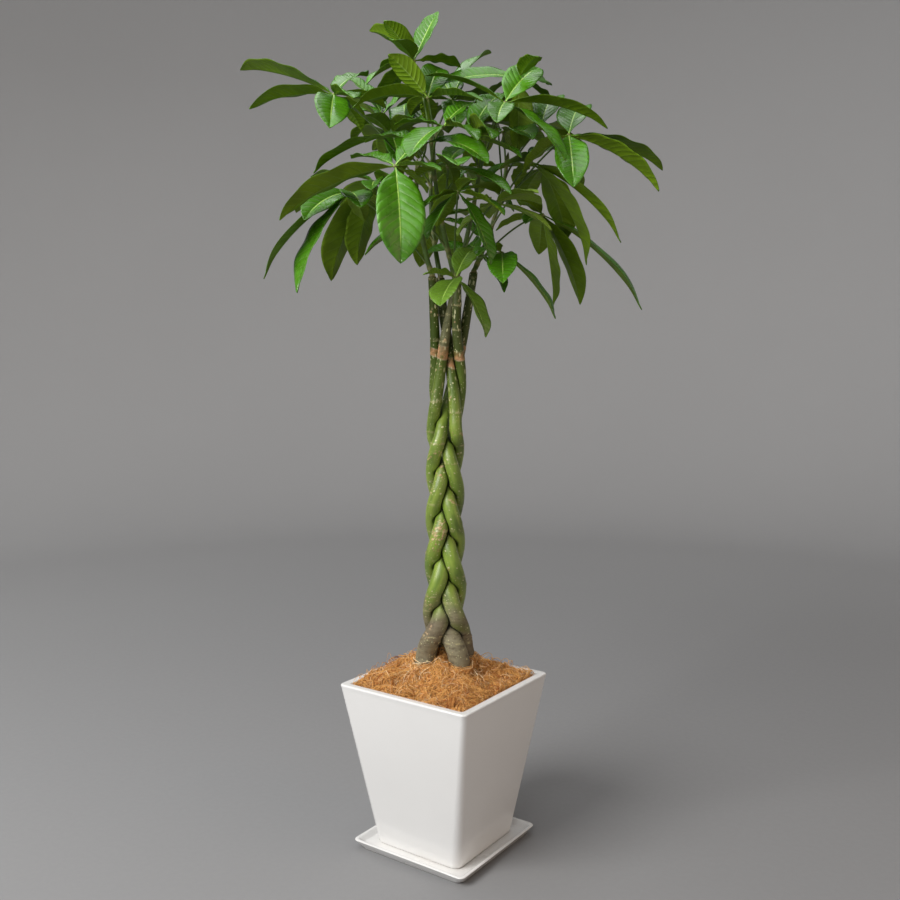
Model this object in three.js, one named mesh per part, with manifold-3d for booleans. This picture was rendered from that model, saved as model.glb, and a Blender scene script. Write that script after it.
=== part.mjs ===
// A potted money tree: five stems plaited into one trunk, with a crown of palmate leaves, in a tapered
// square pot of glazed ceramic on a square saucer, with coconut fibre over the soil. Millimetres, +Z up.
// The saucer stands on Z = 0, and the sides of the pot face X and Y.
import * as THREE from "three";
import { mergeVertices } from "three/addons/utils/BufferGeometryUtils.js";
import Module from "manifold-3d";

const wasm = await Module();
wasm.setup();

const GAP = 0.3; // clearance between pieces that touch
const DEGREE = Math.PI / 180;

// Saucer
const SAUCER_HALF = 135;
const SAUCER_FOOT_HALF = 123;
const SAUCER_HEIGHT = 20;
const SAUCER_FLOOR = 10;
const SAUCER_WALL = 7.5;

// Pot
const POT_BASE_Z = SAUCER_FLOOR + GAP;
const POT_TOP_Z = 345;
const POT_BASE_HALF = 101;
const POT_TOP_HALF = 153;
const POT_WALL = 17;
const POT_FLOOR = 14;
const POT_BASE_CORNER = 17;
const POT_TOP_CORNER = 11;
const DRAIN_RADIUS = 11;
const CORNER_POINTS = 6;

// Soil and the mat of coconut fibre on it
const SOIL_TOP_Z = 316;
const MULCH_EDGE_Z = 337;
const MULCH_MOUND = 42;
const MULCH_BUMP = 5;
const MULCH_RINGS = [0.93, 0.79, 0.62, 0.44, 0.22];
const FIBRE_COUNT = 6;
const FIBRE_RADIUS = 1.5;

// Trunk: five stems in a flat plait, seen broad side on from the front of the tree
const TREE_TURN = 35.6 * DEGREE; // the plait's broad side against the sides of the pot
const STEM_COUNT = 5;
const STEM_SIDES = 8;
const STEM_STEP = 24;
const STEM_ROOT_Z = 245;
const STRAIGHT_TO_Z = 376;
const PLAIT_FROM_Z = 480;
const PLAIT_TOP_Z = 820;
const LOOSE_FROM_Z = 885;
const PLAIT_PERIOD = 465;
const PLAIT_PHASE = 102 * DEGREE;
const PLAIT_PHASE_Z = 946;
const PLAIT_DEPTH = 30;
const PLAIT_THIRD = 0.11; // share of a wave three times as fast, which straightens the ways across
const BEND_EASE = 12; // height over which each bend of a loose stem is eased
const STEM_SPACING = 0.8;

// Radius of a stem and half width of the plait, each by height
const STEM_RADII = [
  [245, 21.5], [390, 21.5], [450, 18.6], [520, 16.6], [700, 14.5], [850, 12.5], [980, 10.4], [1160, 8],
];
const PLAIT_HALF_WIDTHS = [[385, 36], [435, 30], [500, 27], [600, 25], [700, 24.5], [980, 26]];

// Each stem's place in the soil, as [across, depth], its way above the plait, as [across, depth, height],
// and that of the green shoot on its top
const STEMS = [
  {
    root: [-24, 25],
    loose: [[-3, 11, 850], [-15, 27, 888], [-21, 12, 930], [-19, 6, 985], [-20, 2, 1040], [-25, -2, 1152]],
    shoot: [[-25, -2, 1152], [-42, -20, 1205], [-57, -56, 1272], [-52, -78, 1345]],
  },
  {
    root: [-39, -14],
    loose: [[-25, 8, 850], [-21, -16, 890], [-14, -14, 930], [-1, -15, 1030], [15, 6, 1102], [21, 10, 1142]],
    shoot: [[21, 10, 1142], [6, -18, 1195], [-18, -70, 1285], [-26, -92, 1392]],
  },
  {
    root: [44, 4],
    loose: [[15, 30, 850], [25, 12, 890], [31, 0, 930], [31, -6, 970], [22, -13, 1050], [24, -10, 1150]],
    shoot: [[24, -10, 1150], [40, -26, 1215], [62, -42, 1300], [72, -42, 1395]],
  },
  {
    root: [15, 30],
    loose: [[-8, -23, 850], [2, 8, 893], [14, 26, 940], [26, 20, 985], [36, 14, 1035], [57, 18, 1162]],
    shoot: [[57, 18, 1162], [76, 40, 1210], [112, 64, 1285], [124, 56, 1385]],
  },
  {
    root: [28, -29],
    loose: [[23, -25, 850], [17, -17, 930], [10, -3, 980], [9, 6, 1010], [-4, 22, 1080], [-9, 26, 1152]],
    shoot: [[-9, 26, 1152], [-24, 52, 1230], [-40, 66, 1320], [-18, 62, 1440]],
  },
];
const PLAIT_ORDER = [1, 2, 4, 3, 0]; // each stem's turn in the plait
const SHOOT_RADIUS_LOW = 5.2;
const SHOOT_RADIUS_TOP = 3.2;
const SHOOT_SIDES = 6;
const SHOOT_FOOT = 10;
const SHOOT_SPANS = 5;
const SHOOT_SEAT = 0.35; // what a leaf stalk's root is cut back by, all round its shoot
const PETIOLE_RADIUS = 1.9;
const PETIOLE_SIDES = 5;
const PETIOLE_ARCH = 0.16;
const HUB_RADIUS = 5;

// Leaves: the shoot each grows on, its hub as [across, depth, height], and for each leaflet the way from the
// hub to its tip, with its width as a share of its length where that isn't the usual one.
const LEAVES = [
  {
    shoot: 1,
    hub: [-59, -20, 1554],
    tips: [[-53, -50, 58, 0.5], [-33, -90, 12, 0.5], [-86, 70, 68], [90, 60, 8], [20, 110, 40]],
  },
  {
    shoot: 1,
    hub: [-32, -70, 1473],
    tips: [[-135, -60, -30, 0.35], [100, -80, -24], [22, 90, 84, 0.45], [-68, 90, 8]],
  },
  {
    shoot: 0,
    hub: [-208, -50, 1484],
    tips: [[-158, -10, -26], [-190, 80, 72], [6, -120, -86, 0.45], [54, 100, 65], [53, -100, -56]],
  },
  {
    shoot: 4,
    hub: [-107, 40, 1431],
    tips: [[-97, 90, 88], [-159, 30, -66, 0.37], [-17, 110, -36], [-48, 140, 54], [20, -80, -70]],
  },
  {
    shoot: 4,
    hub: [-82, 108, 1442],
    tips: [[66, 80, 87], [76, 110, 25], [29, 110, -13], [-20, 150, 70], [-100, 60, 20]],
  },
  {
    shoot: 4,
    hub: [14, 60, 1503],
    tips: [[-57, 80, -13], [7, -100, -74], [76, 100, 14], [-25, 150, 80], [52, 140, 65]],
  },
  {
    shoot: 2,
    hub: [112, -60, 1467],
    tips: [
      [-151, 20, 50, 0.33], [-20, -100, -58], [196, 10, -41, 0.31], [104, -90, -115, 0.33], [58, 140, 57],
    ],
  },
  {
    shoot: 2,
    hub: [142, 0, 1529],
    tips: [[-165, 20, 36, 0.31], [125, 30, -5], [76, 140, 27], [-54, 120, 24], [7, -130, -73, 0.45]],
  },
  {
    shoot: 3,
    hub: [234, -40, 1413],
    tips: [
      [172, -20, -105, 0.4], [199, 80, -46, 0.35], [38, 130, 86], [-2, -100, -112, 0.42], [-75, -100, -52],
    ],
  },
  {
    shoot: 3,
    hub: [193, 80, 1452],
    tips: [[-128, 10, 18], [-29, 120, 67], [46, 130, 65], [65, 120, 23], [100, 40, -50]],
  },
  {
    shoot: 1,
    hub: [-87, -190, 1326],
    tips: [[12, -50, -172, 0.48], [-204, -10, -91, 0.35], [-84, 80, 32], [54, 80, 44], [81, -60, -18]],
  },
  {
    shoot: 0,
    hub: [-179, -60, 1302],
    tips: [
      [-163, -30, -160, 0.33], [-98, -50, -188, 0.33], [-119, 110, -17], [32, -130, -44], [-60, -110, -70],
    ],
  },
  {
    shoot: 4,
    hub: [-137, 50, 1342],
    tips: [[-47, 60, -157, 0.41], [-108, 50, -203, 0.39], [-76, 130, -46], [-140, 40, 30]],
  },
  {
    shoot: 4,
    hub: [-14, 90, 1274],
    tips: [[35, 100, -71, 0.42], [-30, 90, -77], [-140, 50, -91], [60, 130, 30]],
  },
  {
    shoot: 1,
    hub: [23, -150, 1289],
    tips: [[60, -40, -131, 0.39], [-70, -60, -46], [-37, -110, -63], [80, 90, 15]],
  },
  {
    shoot: 1,
    hub: [5, -120, 1340],
    tips: [[112, -70, -60, 0.4], [35, 100, 53], [36, -140, -42]],
  },
  {
    shoot: 0,
    hub: [-35, -135, 1377],
    tips: [[-33, -110, -104, 0.44], [58, -120, -56], [-100, 90, 21]],
  },
  {
    shoot: 2,
    hub: [91, -90, 1279],
    tips: [[104, -40, -53, 0.39], [-36, -90, -49], [-46, -60, -24]],
  },
  {
    shoot: 3,
    hub: [165, -20, 1367],
    tips: [[170, -50, -155, 0.39], [137, 110, -152, 0.39], [-52, -130, -48, 0.45], [66, 110, 46]],
  },
  {
    shoot: 3,
    hub: [198, 100, 1379],
    tips: [[64, 90, -132, 0.42], [-35, 120, -55], [96, 130, -22]],
  },
  {
    shoot: 3,
    hub: [205, 150, 1292],
    tips: [[94, 70, -181, 0.33], [205, 20, -209, 0.25], [74, 120, -147], [7, 110, -84]],
  },
  {
    shoot: 2,
    hub: [109, -40, 1193],
    tips: [[104, -20, -124, 0.37], [-5, -120, -64], [-58, -90, -26]],
  },
  {
    shoot: 1,
    hub: [20, -110, 1140],
    tips: [[-29, -100, -55, 0.5], [56, -40, -109, 0.39], [-60, -30, 5, 0.5], [24, 100, 43]],
  },
  {
    shoot: 2,
    hub: [68, 10, 1200],
    tips: [[48, -40, -80, 0.4], [-90, -70, -25, 0.45], [-25, 110, 22]],
  },
  {
    shoot: 3,
    hub: [114, 30, 1434],
    tips: [[64, -110, -72], [-70, 100, 31], [32, 120, -9]],
  },
  {
    shoot: 3,
    hub: [110, 150, 1480],
    tips: [[-100, 60, 40], [30, 130, 30], [110, 70, -30], [-40, 120, -60], [60, -60, 80]],
  },
  {
    shoot: 4,
    hub: [-130, 130, 1490],
    tips: [[-120, 60, 30], [-60, 120, 30], [40, 130, 10], [-90, -60, 60], [70, 40, 70]],
  },
  {
    shoot: 1,
    hub: [-2, -128, 1408],
    tips: [[-60, -90, -70, 0.5], [70, -70, -60, 0.45], [-90, 20, 10], [60, 60, 60]],
  },
  {
    shoot: 4,
    hub: [40, 160, 1390],
    tips: [[-60, 110, -90], [40, 120, -60], [110, 60, -70], [-110, 70, -30]],
  },
  {
    shoot: 2,
    hub: [50, -60, 1403],
    tips: [[96, -50, -64], [18, -130, -80, 0.42], [59, 120, 46]],
  },
];
const LEAFLET_WIDTH = 0.42; // of its length
const LEAFLET_THICKNESS = 0.8;
const LEAFLET_ARCH = 0.13;
const LEAFLET_FOLD = 15 * DEGREE;
// Half width along a leaflet, as [share of length, share of the widest]
const LEAFLET_OUTLINE = [[0.25, 0.8], [0.52, 1], [0.8, 0.76]];
const TRIES = 500; // positions tried for a leaflet or a leaf stalk until it is clear of the rest
const SAMPLE = 6; // distance between the points that stand for a leaflet or a stalk in that search
const CUBE = 14;
const BLADE_ROOM = 3; // kept clear round each point of a blade
const LINE_ROOM = 1.2; // kept clear round a shoot or a stalk, besides its radius
const ROOT_LENGTH = 26; // the start of a leaf stalk, which may lie close to its shoot

// A repeatable draw from 0 to 1 for three whole numbers.
function draw(a, b, c) {
  let h = Math.imul(a + 11, 374761393) ^ Math.imul(b + 7, 668265263) ^ Math.imul(c + 3, 1274126177);
  h = Math.imul(h ^ (h >>> 13), 1103515245);
  h = Math.imul(h ^ (h >>> 16), 2246822519);
  return ((h ^ (h >>> 15)) >>> 0) / 4294967296;
}

// A value read off a list of [position, value] pairs, straight between them and level beyond them.
function along(pairs, at) {
  const i = pairs.findIndex((pair) => pair[0] > at);
  if (i === 0) return pairs[0][1];
  if (i < 0) return pairs[pairs.length - 1][1];
  const [a, b] = [pairs[i - 1], pairs[i]];
  return a[1] + ((b[1] - a[1]) * (at - a[0])) / (b[0] - a[0]);
}

// Joins rings of equal point count into one closed surface, capped at both ends or led back to its start.
function skin(rings, looped = false) {
  const n = rings[0].length;
  const faces = [];
  const spans = looped ? rings.length : rings.length - 1;
  for (let i = 0; i < spans; i++) {
    const low = i * n;
    const high = ((i + 1) % rings.length) * n;
    for (let k = 0; k < n; k++) {
      const next = (k + 1) % n;
      faces.push(low + k, low + next, high + next, low + k, high + next, high + k);
    }
  }
  const last = (rings.length - 1) * n;
  for (let k = 1; k < n - 1 && !looped; k++) {
    faces.push(0, k + 1, k, last, last + k, last + k + 1);
  }
  const geometry = new THREE.BufferGeometry();
  const positions = rings.flat().flatMap((p) => [p.x, p.y, p.z]);
  geometry.setAttribute("position", new THREE.Float32BufferAttribute(positions, 3));
  geometry.setIndex(faces);
  return geometry;
}

// A geometry as a solid. Points that lie at one place are merged, and the faces between them left out.
function solidOf(geometry) {
  const merged = mergeVertices(geometry, 1e-4);
  const faces = [];
  const index = merged.getIndex().array;
  for (let i = 0; i < index.length; i += 3) {
    const [a, b, c] = index.subarray(i, i + 3);
    if (a !== b && b !== c && c !== a) faces.push(a, b, c);
  }
  const mesh = new wasm.Mesh({
    numProp: 3,
    vertProperties: new Float32Array(merged.getAttribute("position").array),
    triVerts: new Uint32Array(faces),
  });
  return new wasm.Manifold(mesh);
}

function geometryOf(solid) {
  const mesh = solid.getMesh();
  const geometry = new THREE.BufferGeometry();
  geometry.setAttribute("position", new THREE.BufferAttribute(mesh.vertProperties, 3));
  geometry.setIndex(new THREE.BufferAttribute(mesh.triVerts, 1));
  return geometry;
}

function material(color, roughness) {
  return new THREE.MeshStandardMaterial({ color, roughness, metalness: 0, flatShading: true });
}

function named(name, geometry, look) {
  const mesh = new THREE.Mesh(geometry, look);
  mesh.name = name;
  return mesh;
}

// A point at a distance and an angle from a centre, at height z.
function polar(centre, reach, angle, z) {
  return new THREE.Vector3(centre.x + reach * Math.cos(angle), centre.y + reach * Math.sin(angle), z);
}

// A square ring with rounded corners at height z. With the radius equal to the half width it is a circle.
function squareRing(half, corner, z) {
  const ring = [];
  const middle = new THREE.Vector2();
  for (let side = 0; side < 4; side++) {
    const centre = new THREE.Vector2(half - corner, half - corner);
    centre.rotateAround(middle, (side * Math.PI) / 2);
    for (let i = 0; i < CORNER_POINTS; i++) {
      const angle = ((side + i / (CORNER_POINTS - 1)) * Math.PI) / 2;
      ring.push(polar(centre, corner, angle, z));
    }
  }
  return ring;
}

function saucerGeometry() {
  const slope = (SAUCER_HALF - SAUCER_FOOT_HALF) / SAUCER_HEIGHT;
  const inner = (z) => SAUCER_FOOT_HALF + slope * z - SAUCER_WALL;
  return skin([
    squareRing(SAUCER_FOOT_HALF - 2.5, 14, 0),
    squareRing(SAUCER_FOOT_HALF + 0.3, 15, 2),
    squareRing(SAUCER_HALF - 1.6, 12, SAUCER_HEIGHT - 3),
    squareRing(SAUCER_HALF, 12, SAUCER_HEIGHT - 1.2),
    squareRing(SAUCER_HALF - 1.2, 12, SAUCER_HEIGHT),
    squareRing(inner(SAUCER_HEIGHT) + 0.8, 10, SAUCER_HEIGHT - 0.4),
    squareRing(inner(SAUCER_FLOOR) - 1, 10, SAUCER_FLOOR + 1.5),
    squareRing(inner(SAUCER_FLOOR) - 3.5, 9, SAUCER_FLOOR),
  ]);
}

function potHalf(z) {
  return POT_BASE_HALF + ((POT_TOP_HALF - POT_BASE_HALF) * (z - POT_BASE_Z)) / (POT_TOP_Z - POT_BASE_Z);
}

function potGeometry() {
  const floor = POT_BASE_Z + POT_FLOOR;
  const top = POT_TOP_HALF;
  return skin([
    squareRing(POT_BASE_HALF - 4, POT_BASE_CORNER - 3, POT_BASE_Z),
    squareRing(POT_BASE_HALF - 1, POT_BASE_CORNER, POT_BASE_Z + 1.5),
    squareRing(potHalf(POT_BASE_Z + 6), POT_BASE_CORNER, POT_BASE_Z + 6),
    squareRing(top - 0.8, POT_TOP_CORNER, POT_TOP_Z - 5),
    squareRing(top, POT_TOP_CORNER, POT_TOP_Z - 2.5),
    squareRing(top - 0.8, POT_TOP_CORNER, POT_TOP_Z - 0.8),
    squareRing(top - 3, POT_TOP_CORNER - 1, POT_TOP_Z),
    squareRing(top - POT_WALL + 2, 7, POT_TOP_Z),
    squareRing(top - POT_WALL, 6, POT_TOP_Z - 2),
    squareRing(potHalf(floor + 6) - POT_WALL, 6, floor + 6),
    squareRing(potHalf(floor) - POT_WALL - 5, 5, floor),
    squareRing(DRAIN_RADIUS, DRAIN_RADIUS, floor),
    squareRing(DRAIN_RADIUS, DRAIN_RADIUS, POT_BASE_Z),
  ], true);
}

// Half width of the space inside the pot, less the clearance.
function insideHalf(z) {
  return potHalf(z) - POT_WALL - GAP;
}

function soilGeometry(holes) {
  const floor = POT_BASE_Z + POT_FLOOR + GAP;
  const body = skin([
    squareRing(insideHalf(floor) - 6, 5, floor),
    squareRing(insideHalf(floor + 7), 6, floor + 7),
    squareRing(insideHalf(SOIL_TOP_Z), 6, SOIL_TOP_Z),
  ]);
  return geometryOf(solidOf(body).subtract(holes));
}

// Height of the fibre mat at a share of the way out from the trunk to the wall of the pot.
function mulchHeight(share, ring, point) {
  const bump = (draw(ring, point, 5) * 2 - 1) * MULCH_BUMP;
  return MULCH_EDGE_Z + MULCH_MOUND * (1 - share) ** 1.5 + bump;
}

// One loop of coarse fibre that comes out of the mat and goes back in.
function fibreSolid(index) {
  const angle = draw(index, 1, 9) * 2 * Math.PI;
  const reach = 52 + 66 * draw(index, 2, 9);
  const span = 22 + 20 * draw(index, 3, 9);
  const heading = angle + Math.PI / 2 + (draw(index, 4, 9) - 0.5) * 1.6;
  const middle = new THREE.Vector3(Math.cos(angle), Math.sin(angle), 0).multiplyScalar(reach);
  const run = new THREE.Vector3(Math.cos(heading), Math.sin(heading), 0).multiplyScalar(span / 2);
  const base = MULCH_EDGE_Z + MULCH_MOUND * (1 - reach / 128) ** 1.5;
  const rise = 7 + 5 * draw(index, 5, 9);
  const path = new THREE.CatmullRomCurve3([
    middle.clone().sub(run).setZ(base - 9),
    middle.clone().addScaledVector(run, -0.5).setZ(base + rise * 0.7),
    middle.clone().addScaledVector(run, 0.4).setZ(base + rise),
    middle.clone().add(run).setZ(base - 9),
  ]);
  return solidOf(tube(path.getPoints(5), () => FIBRE_RADIUS, 3));
}

function mulchGeometry(holes) {
  const bottom = SOIL_TOP_Z + GAP;
  const half = insideHalf(MULCH_EDGE_Z) - 1;
  const rings = [squareRing(insideHalf(bottom), 6, bottom), squareRing(half, 6, MULCH_EDGE_Z - 3)];
  for (const [i, share] of MULCH_RINGS.entries()) {
    const ring = squareRing(half * share, 6 + 12 * (1 - share), 0);
    ring.forEach((p, k) => p.setZ(mulchHeight(share, i, k)));
    rings.push(ring);
  }
  let body = solidOf(skin(rings));
  for (let i = 0; i < FIBRE_COUNT; i++) body = body.add(fibreSolid(i));
  return geometryOf(body.subtract(holes));
}

// A tube of straight spans through the points, its ends cut square.
function tube(points, radiusAt, sides) {
  const rings = [];
  let side = new THREE.Vector3(1, 0, 0);
  points.forEach((p, i) => {
    const before = points[Math.max(i - 1, 0)];
    const after = points[Math.min(i + 1, points.length - 1)];
    const tangent = after.clone().sub(before).normalize();
    side = side.clone().addScaledVector(tangent, -side.dot(tangent)).normalize();
    const radius = radiusAt(i / (points.length - 1));
    const ring = [];
    for (let k = 0; k < sides; k++) {
      const spoke = side.clone().applyAxisAngle(tangent, (2 * Math.PI * k) / sides);
      ring.push(spoke.multiplyScalar(radius).add(p));
    }
    rings.push(ring);
  });
  return skin(rings);
}

// A loose stem's place at a height, with its bends eased.
function loosePlace(stem, z) {
  const place = [0, 1].map((axis) => {
    const pairs = STEMS[stem].loose.map((p) => [p[2], p[axis]]);
    return (along(pairs, z - BEND_EASE) + 2 * along(pairs, z) + along(pairs, z + BEND_EASE)) / 4;
  });
  return new THREE.Vector2(...place);
}

// Centre line of a stem: upright in the soil, then in the plait, then on its own way.
function stemCentre(stem, z) {
  const plaitZ = Math.max(z, STRAIGHT_TO_Z);
  const turn = PLAIT_PHASE + (2 * Math.PI * PLAIT_ORDER[stem]) / STEM_COUNT;
  const t = turn + (2 * Math.PI * (plaitZ - PLAIT_PHASE_Z)) / PLAIT_PERIOD;
  const across = (Math.cos(t) + PLAIT_THIRD * Math.cos(3 * t)) / (1 + PLAIT_THIRD);
  const plait = new THREE.Vector2(along(PLAIT_HALF_WIDTHS, plaitZ) * across, -PLAIT_DEPTH * Math.sin(2 * t));
  plait.lerp(loosePlace(stem, z), THREE.MathUtils.smoothstep(z, PLAIT_TOP_Z, LOOSE_FROM_Z));
  const root = new THREE.Vector2(...STEMS[stem].root);
  const risen = THREE.MathUtils.clamp((plaitZ - STRAIGHT_TO_Z) / (PLAIT_FROM_Z - STRAIGHT_TO_Z), 0, 1);
  return root.lerp(plait, (risen * (3 - risen ** 2)) / 2);
}

// The upright planes halfway to each neighbour, half a step below and above, which keep the stems apart.
function stemCuts(stem, z, spacing) {
  const centre = stemCentre(stem, z);
  const cuts = [];
  for (const level of [z - STEM_STEP / 2, z + STEM_STEP / 2]) {
    const mine = stemCentre(stem, level);
    for (let other = 0; other < STEM_COUNT; other++) {
      if (other === stem) continue;
      const way = stemCentre(other, level).sub(mine);
      const middle = mine.clone().addScaledVector(way, 0.5).sub(centre);
      cuts.push({ heading: way.angle(), room: middle.dot(way) / way.length() - spacing / 2 });
    }
  }
  return cuts;
}

// A stem's outline at one height: round across its own slope, and pressed flat where it meets the others.
function stemRing(stem, z, swell = 1, spacing = STEM_SPACING) {
  const centre = stemCentre(stem, z);
  const slope = stemCentre(stem, z + 2).sub(stemCentre(stem, z - 2)).divideScalar(4);
  const heading = slope.angle();
  const stretch = Math.sqrt(1 + slope.lengthSq());
  const radius = along(STEM_RADII, z) * swell;
  const cuts = stemCuts(stem, z, spacing);
  const ring = [];
  for (let k = 0; k < STEM_SIDES; k++) {
    const angle = (2 * Math.PI * k) / STEM_SIDES;
    let reach = radius / Math.hypot(Math.cos(angle - heading) / stretch, Math.sin(angle - heading));
    for (const cut of cuts) {
      const facing = Math.cos(angle - cut.heading);
      if (facing > 0) reach = Math.min(reach, cut.room / facing);
    }
    ring.push(polar(centre, reach, angle, z));
  }
  return ring;
}

function stemTopZ(stem) {
  return STEMS[stem].loose.at(-1)[2];
}

function stemGeometry(stem) {
  const top = stemTopZ(stem);
  const rings = [stemRing(stem, STEM_ROOT_Z)];
  for (let z = STRAIGHT_TO_Z; z < top - STEM_STEP / 2; z += STEM_STEP) rings.push(stemRing(stem, z));
  rings.push(stemRing(stem, top - 2, 0.95), stemRing(stem, top, 0.8));
  return skin(rings);
}

// The space that the five stems take up in the soil and the fibre, with clearance all round. The spaces of
// stems that touch run into each other.
function stemHoles() {
  const swell = 1.03 + (2 * GAP) / along(STEM_RADII, STRAIGHT_TO_Z);
  let holes = null;
  for (let stem = 0; stem < STEM_COUNT; stem++) {
    const low = stemRing(stem, STEM_ROOT_Z, swell, -GAP);
    const high = stemRing(stem, STRAIGHT_TO_Z, swell, -GAP);
    low.forEach((p) => p.setZ(STEM_ROOT_Z - GAP));
    const above = high.map((p) => p.clone().setZ(STRAIGHT_TO_Z + MULCH_MOUND));
    const hole = solidOf(skin([low, high, above]));
    holes = holes ? holes.add(hole) : hole;
  }
  return holes.rotate([0, 0, TREE_TURN / DEGREE]);
}

function vector(list) {
  return new THREE.Vector3(list[0], list[1], list[2]);
}

// The centre line of a shoot, from the cut top of its stem.
function shootPoints(stem) {
  return new THREE.CubicBezierCurve3(...STEMS[stem].shoot.map(vector)).getPoints(SHOOT_SPANS);
}

function shootTube(stem, extra = 0) {
  const points = shootPoints(stem);
  points[0].z += SHOOT_FOOT / 2;
  const radius = (share) => THREE.MathUtils.lerp(SHOOT_RADIUS_LOW, SHOOT_RADIUS_TOP, share) + extra;
  return solidOf(tube(points, radius, SHOOT_SIDES));
}

function levelRing(centre, radius, sides, z) {
  const ring = [];
  for (let k = 0; k < sides; k++) ring.push(polar(centre, radius, (2 * Math.PI * k) / sides, z));
  return ring;
}

// A green shoot, on a level foot that stands on the cut top of its stem.
function shootGeometry(stem) {
  const base = vector(STEMS[stem].shoot[0]);
  const foot = skin([
    levelRing(base, SHOOT_RADIUS_LOW * 1.15, SHOOT_SIDES, base.z + GAP),
    levelRing(base, SHOOT_RADIUS_LOW, SHOOT_SIDES, base.z + SHOOT_FOOT),
  ]);
  return geometryOf(solidOf(foot).add(shootTube(stem)));
}

// Points already taken up in the crown, kept by the cube they lie in for a quick look round each of them.
const taken = new Map();

function cubeKeys(point, reach) {
  const keys = [];
  const [x, y, z] = point.toArray().map((v) => Math.floor(v / CUBE));
  for (let i = x - reach; i <= x + reach; i++) {
    for (let j = y - reach; j <= y + reach; j++) {
      for (let k = z - reach; k <= z + reach; k++) keys.push(i + " " + j + " " + k);
    }
  }
  return keys;
}

function take(points, owner) {
  for (const p of points) {
    const [key] = cubeKeys(p.at, 0);
    if (!taken.has(key)) taken.set(key, []);
    taken.get(key).push({ ...p, owner });
  }
}

// Whether the points keep clear of all those taken, apart from what they grow from or together with.
function clear(points, owner) {
  return points.every((p) => {
    const near = cubeKeys(p.at, 1).flatMap((key) => taken.get(key) ?? []);
    return near.every((q) => {
      const joined = p.joint && (q.owner === p.joint || (q.owner === owner && q.joint === p.joint));
      return joined || p.at.distanceTo(q.at) >= p.room + q.room;
    });
  });
}

// Points along a line of given radius, for the search of clear places.
function linePoints(points, radius, jointOf) {
  const curve = new THREE.CatmullRomCurve3(points);
  const length = curve.getLength();
  const count = Math.ceil(length / SAMPLE);
  return curve.getSpacedPoints(count).map((at, i) => {
    return { at, room: radius + LINE_ROOM, joint: jointOf((length * i) / count, length) };
  });
}

// Where a leaf stalk leaves its shoot: lower for a hub far out, and higher or lower at each further attempt.
function petioleRoot(leaf, hub, attempt) {
  const points = shootPoints(leaf.shoot);
  const spread = Math.hypot(hub.x - points[1].x, hub.y - points[1].y);
  const shift = 12 * Math.ceil(attempt / 2) * (attempt % 2 ? 1 : -1);
  const wanted = hub.z - 30 - 0.75 * spread + shift;
  const height = THREE.MathUtils.clamp(wanted, points[0].z + 16, points.at(-1).z - 4);
  const [x, y] = ["x", "y"].map((axis) => along(points.map((p) => [p.z, p[axis]]), height));
  return new THREE.Vector3(x, y, height);
}

// The centre line of a leaf stalk: up and out of its shoot, and over to the hub.
function petiolePath(leaf, hub, attempt) {
  const root = petioleRoot(leaf, hub, attempt);
  const out = hub.clone().sub(root).setZ(0).normalize();
  const length = root.distanceTo(hub);
  const bow = ((draw(attempt, 3, 21) - 0.5) * 0.5 * length * Math.min(attempt, 12)) / 12;
  const bend = root.clone().lerp(hub, 0.5);
  bend.add(new THREE.Vector3(-out.y * bow, out.x * bow, PETIOLE_ARCH * length));
  return new THREE.QuadraticBezierCurve3(root, bend, hub).getPoints(4);
}

// A leaflet at a share of its length: its point, and unit vectors along, across and out of the blade.
function leafletFrame(hub, reach, arch, roll, share) {
  const ahead = reach.clone().normalize();
  const outward = new THREE.Vector3(reach.x, reach.y, 0).normalize();
  const up = new THREE.Vector3(0, 0, 1).addScaledVector(outward, 0.35);
  up.addScaledVector(ahead, -up.dot(ahead)).normalize();
  const bend = hub.clone().addScaledVector(reach, 0.45).addScaledVector(up, arch * reach.length());
  const curve = new THREE.QuadraticBezierCurve3(hub, bend, hub.clone().add(reach));
  const along = curve.getTangent(share);
  const across = along.clone().cross(up).normalize().applyAxisAngle(along, roll);
  return { at: curve.getPoint(share), along, across, out: across.clone().cross(along) };
}

// Rings of six points round a leaflet: both edges and the rib, on the upper face and then the lower one.
function leafletRings(hub, place) {
  const half = (place.width * place.reach.length()) / 2;
  const stalk = [0, 1.7, 1.1, 0];
  const tip = [1, 0, LEAFLET_THICKNESS / 2, 0];
  const blade = LEAFLET_OUTLINE.map(([share, w]) => [share, half * w, LEAFLET_THICKNESS / 2, LEAFLET_FOLD]);
  return [stalk, ...blade, tip].map(([share, w, thick, fold]) => {
    const f = leafletFrame(hub, place.reach, place.arch, place.roll, share);
    const point = (sideways, outwards) =>
      f.at.clone().addScaledVector(f.across, sideways).addScaledVector(f.out, outwards);
    const edge = w * Math.cos(fold);
    const lift = w * Math.sin(fold);
    return [
      point(-edge, lift + thick), point(0, thick), point(edge, lift + thick),
      point(edge, lift - thick), point(0, -thick), point(-edge, lift - thick),
    ];
  });
}

// Points spread over a leaflet's blade, for the search of clear places.
function leafletPoints(rings, owner) {
  const points = [];
  for (let i = 0; i < rings.length - 1; i++) {
    const steps = Math.ceil(rings[i][1].distanceTo(rings[i + 1][1]) / SAMPLE);
    for (let s = i ? 0 : 1; s < steps; s++) {
      const [left, rib, right] = [0, 1, 2].map((k) => rings[i][k].clone().lerp(rings[i + 1][k], s / steps));
      const near = i === 0 && s / steps < 0.75 ? owner : null;
      const across = Math.ceil(left.distanceTo(rib) / SAMPLE);
      for (let k = 0; k <= across; k++) {
        points.push({ at: rib.clone().lerp(left, k / across), room: BLADE_ROOM, joint: near });
        if (k) points.push({ at: rib.clone().lerp(right, k / across), room: BLADE_ROOM, joint: near });
      }
    }
  }
  points.push({ at: rings.at(-1)[1], room: BLADE_ROOM, joint: null });
  return points;
}

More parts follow.
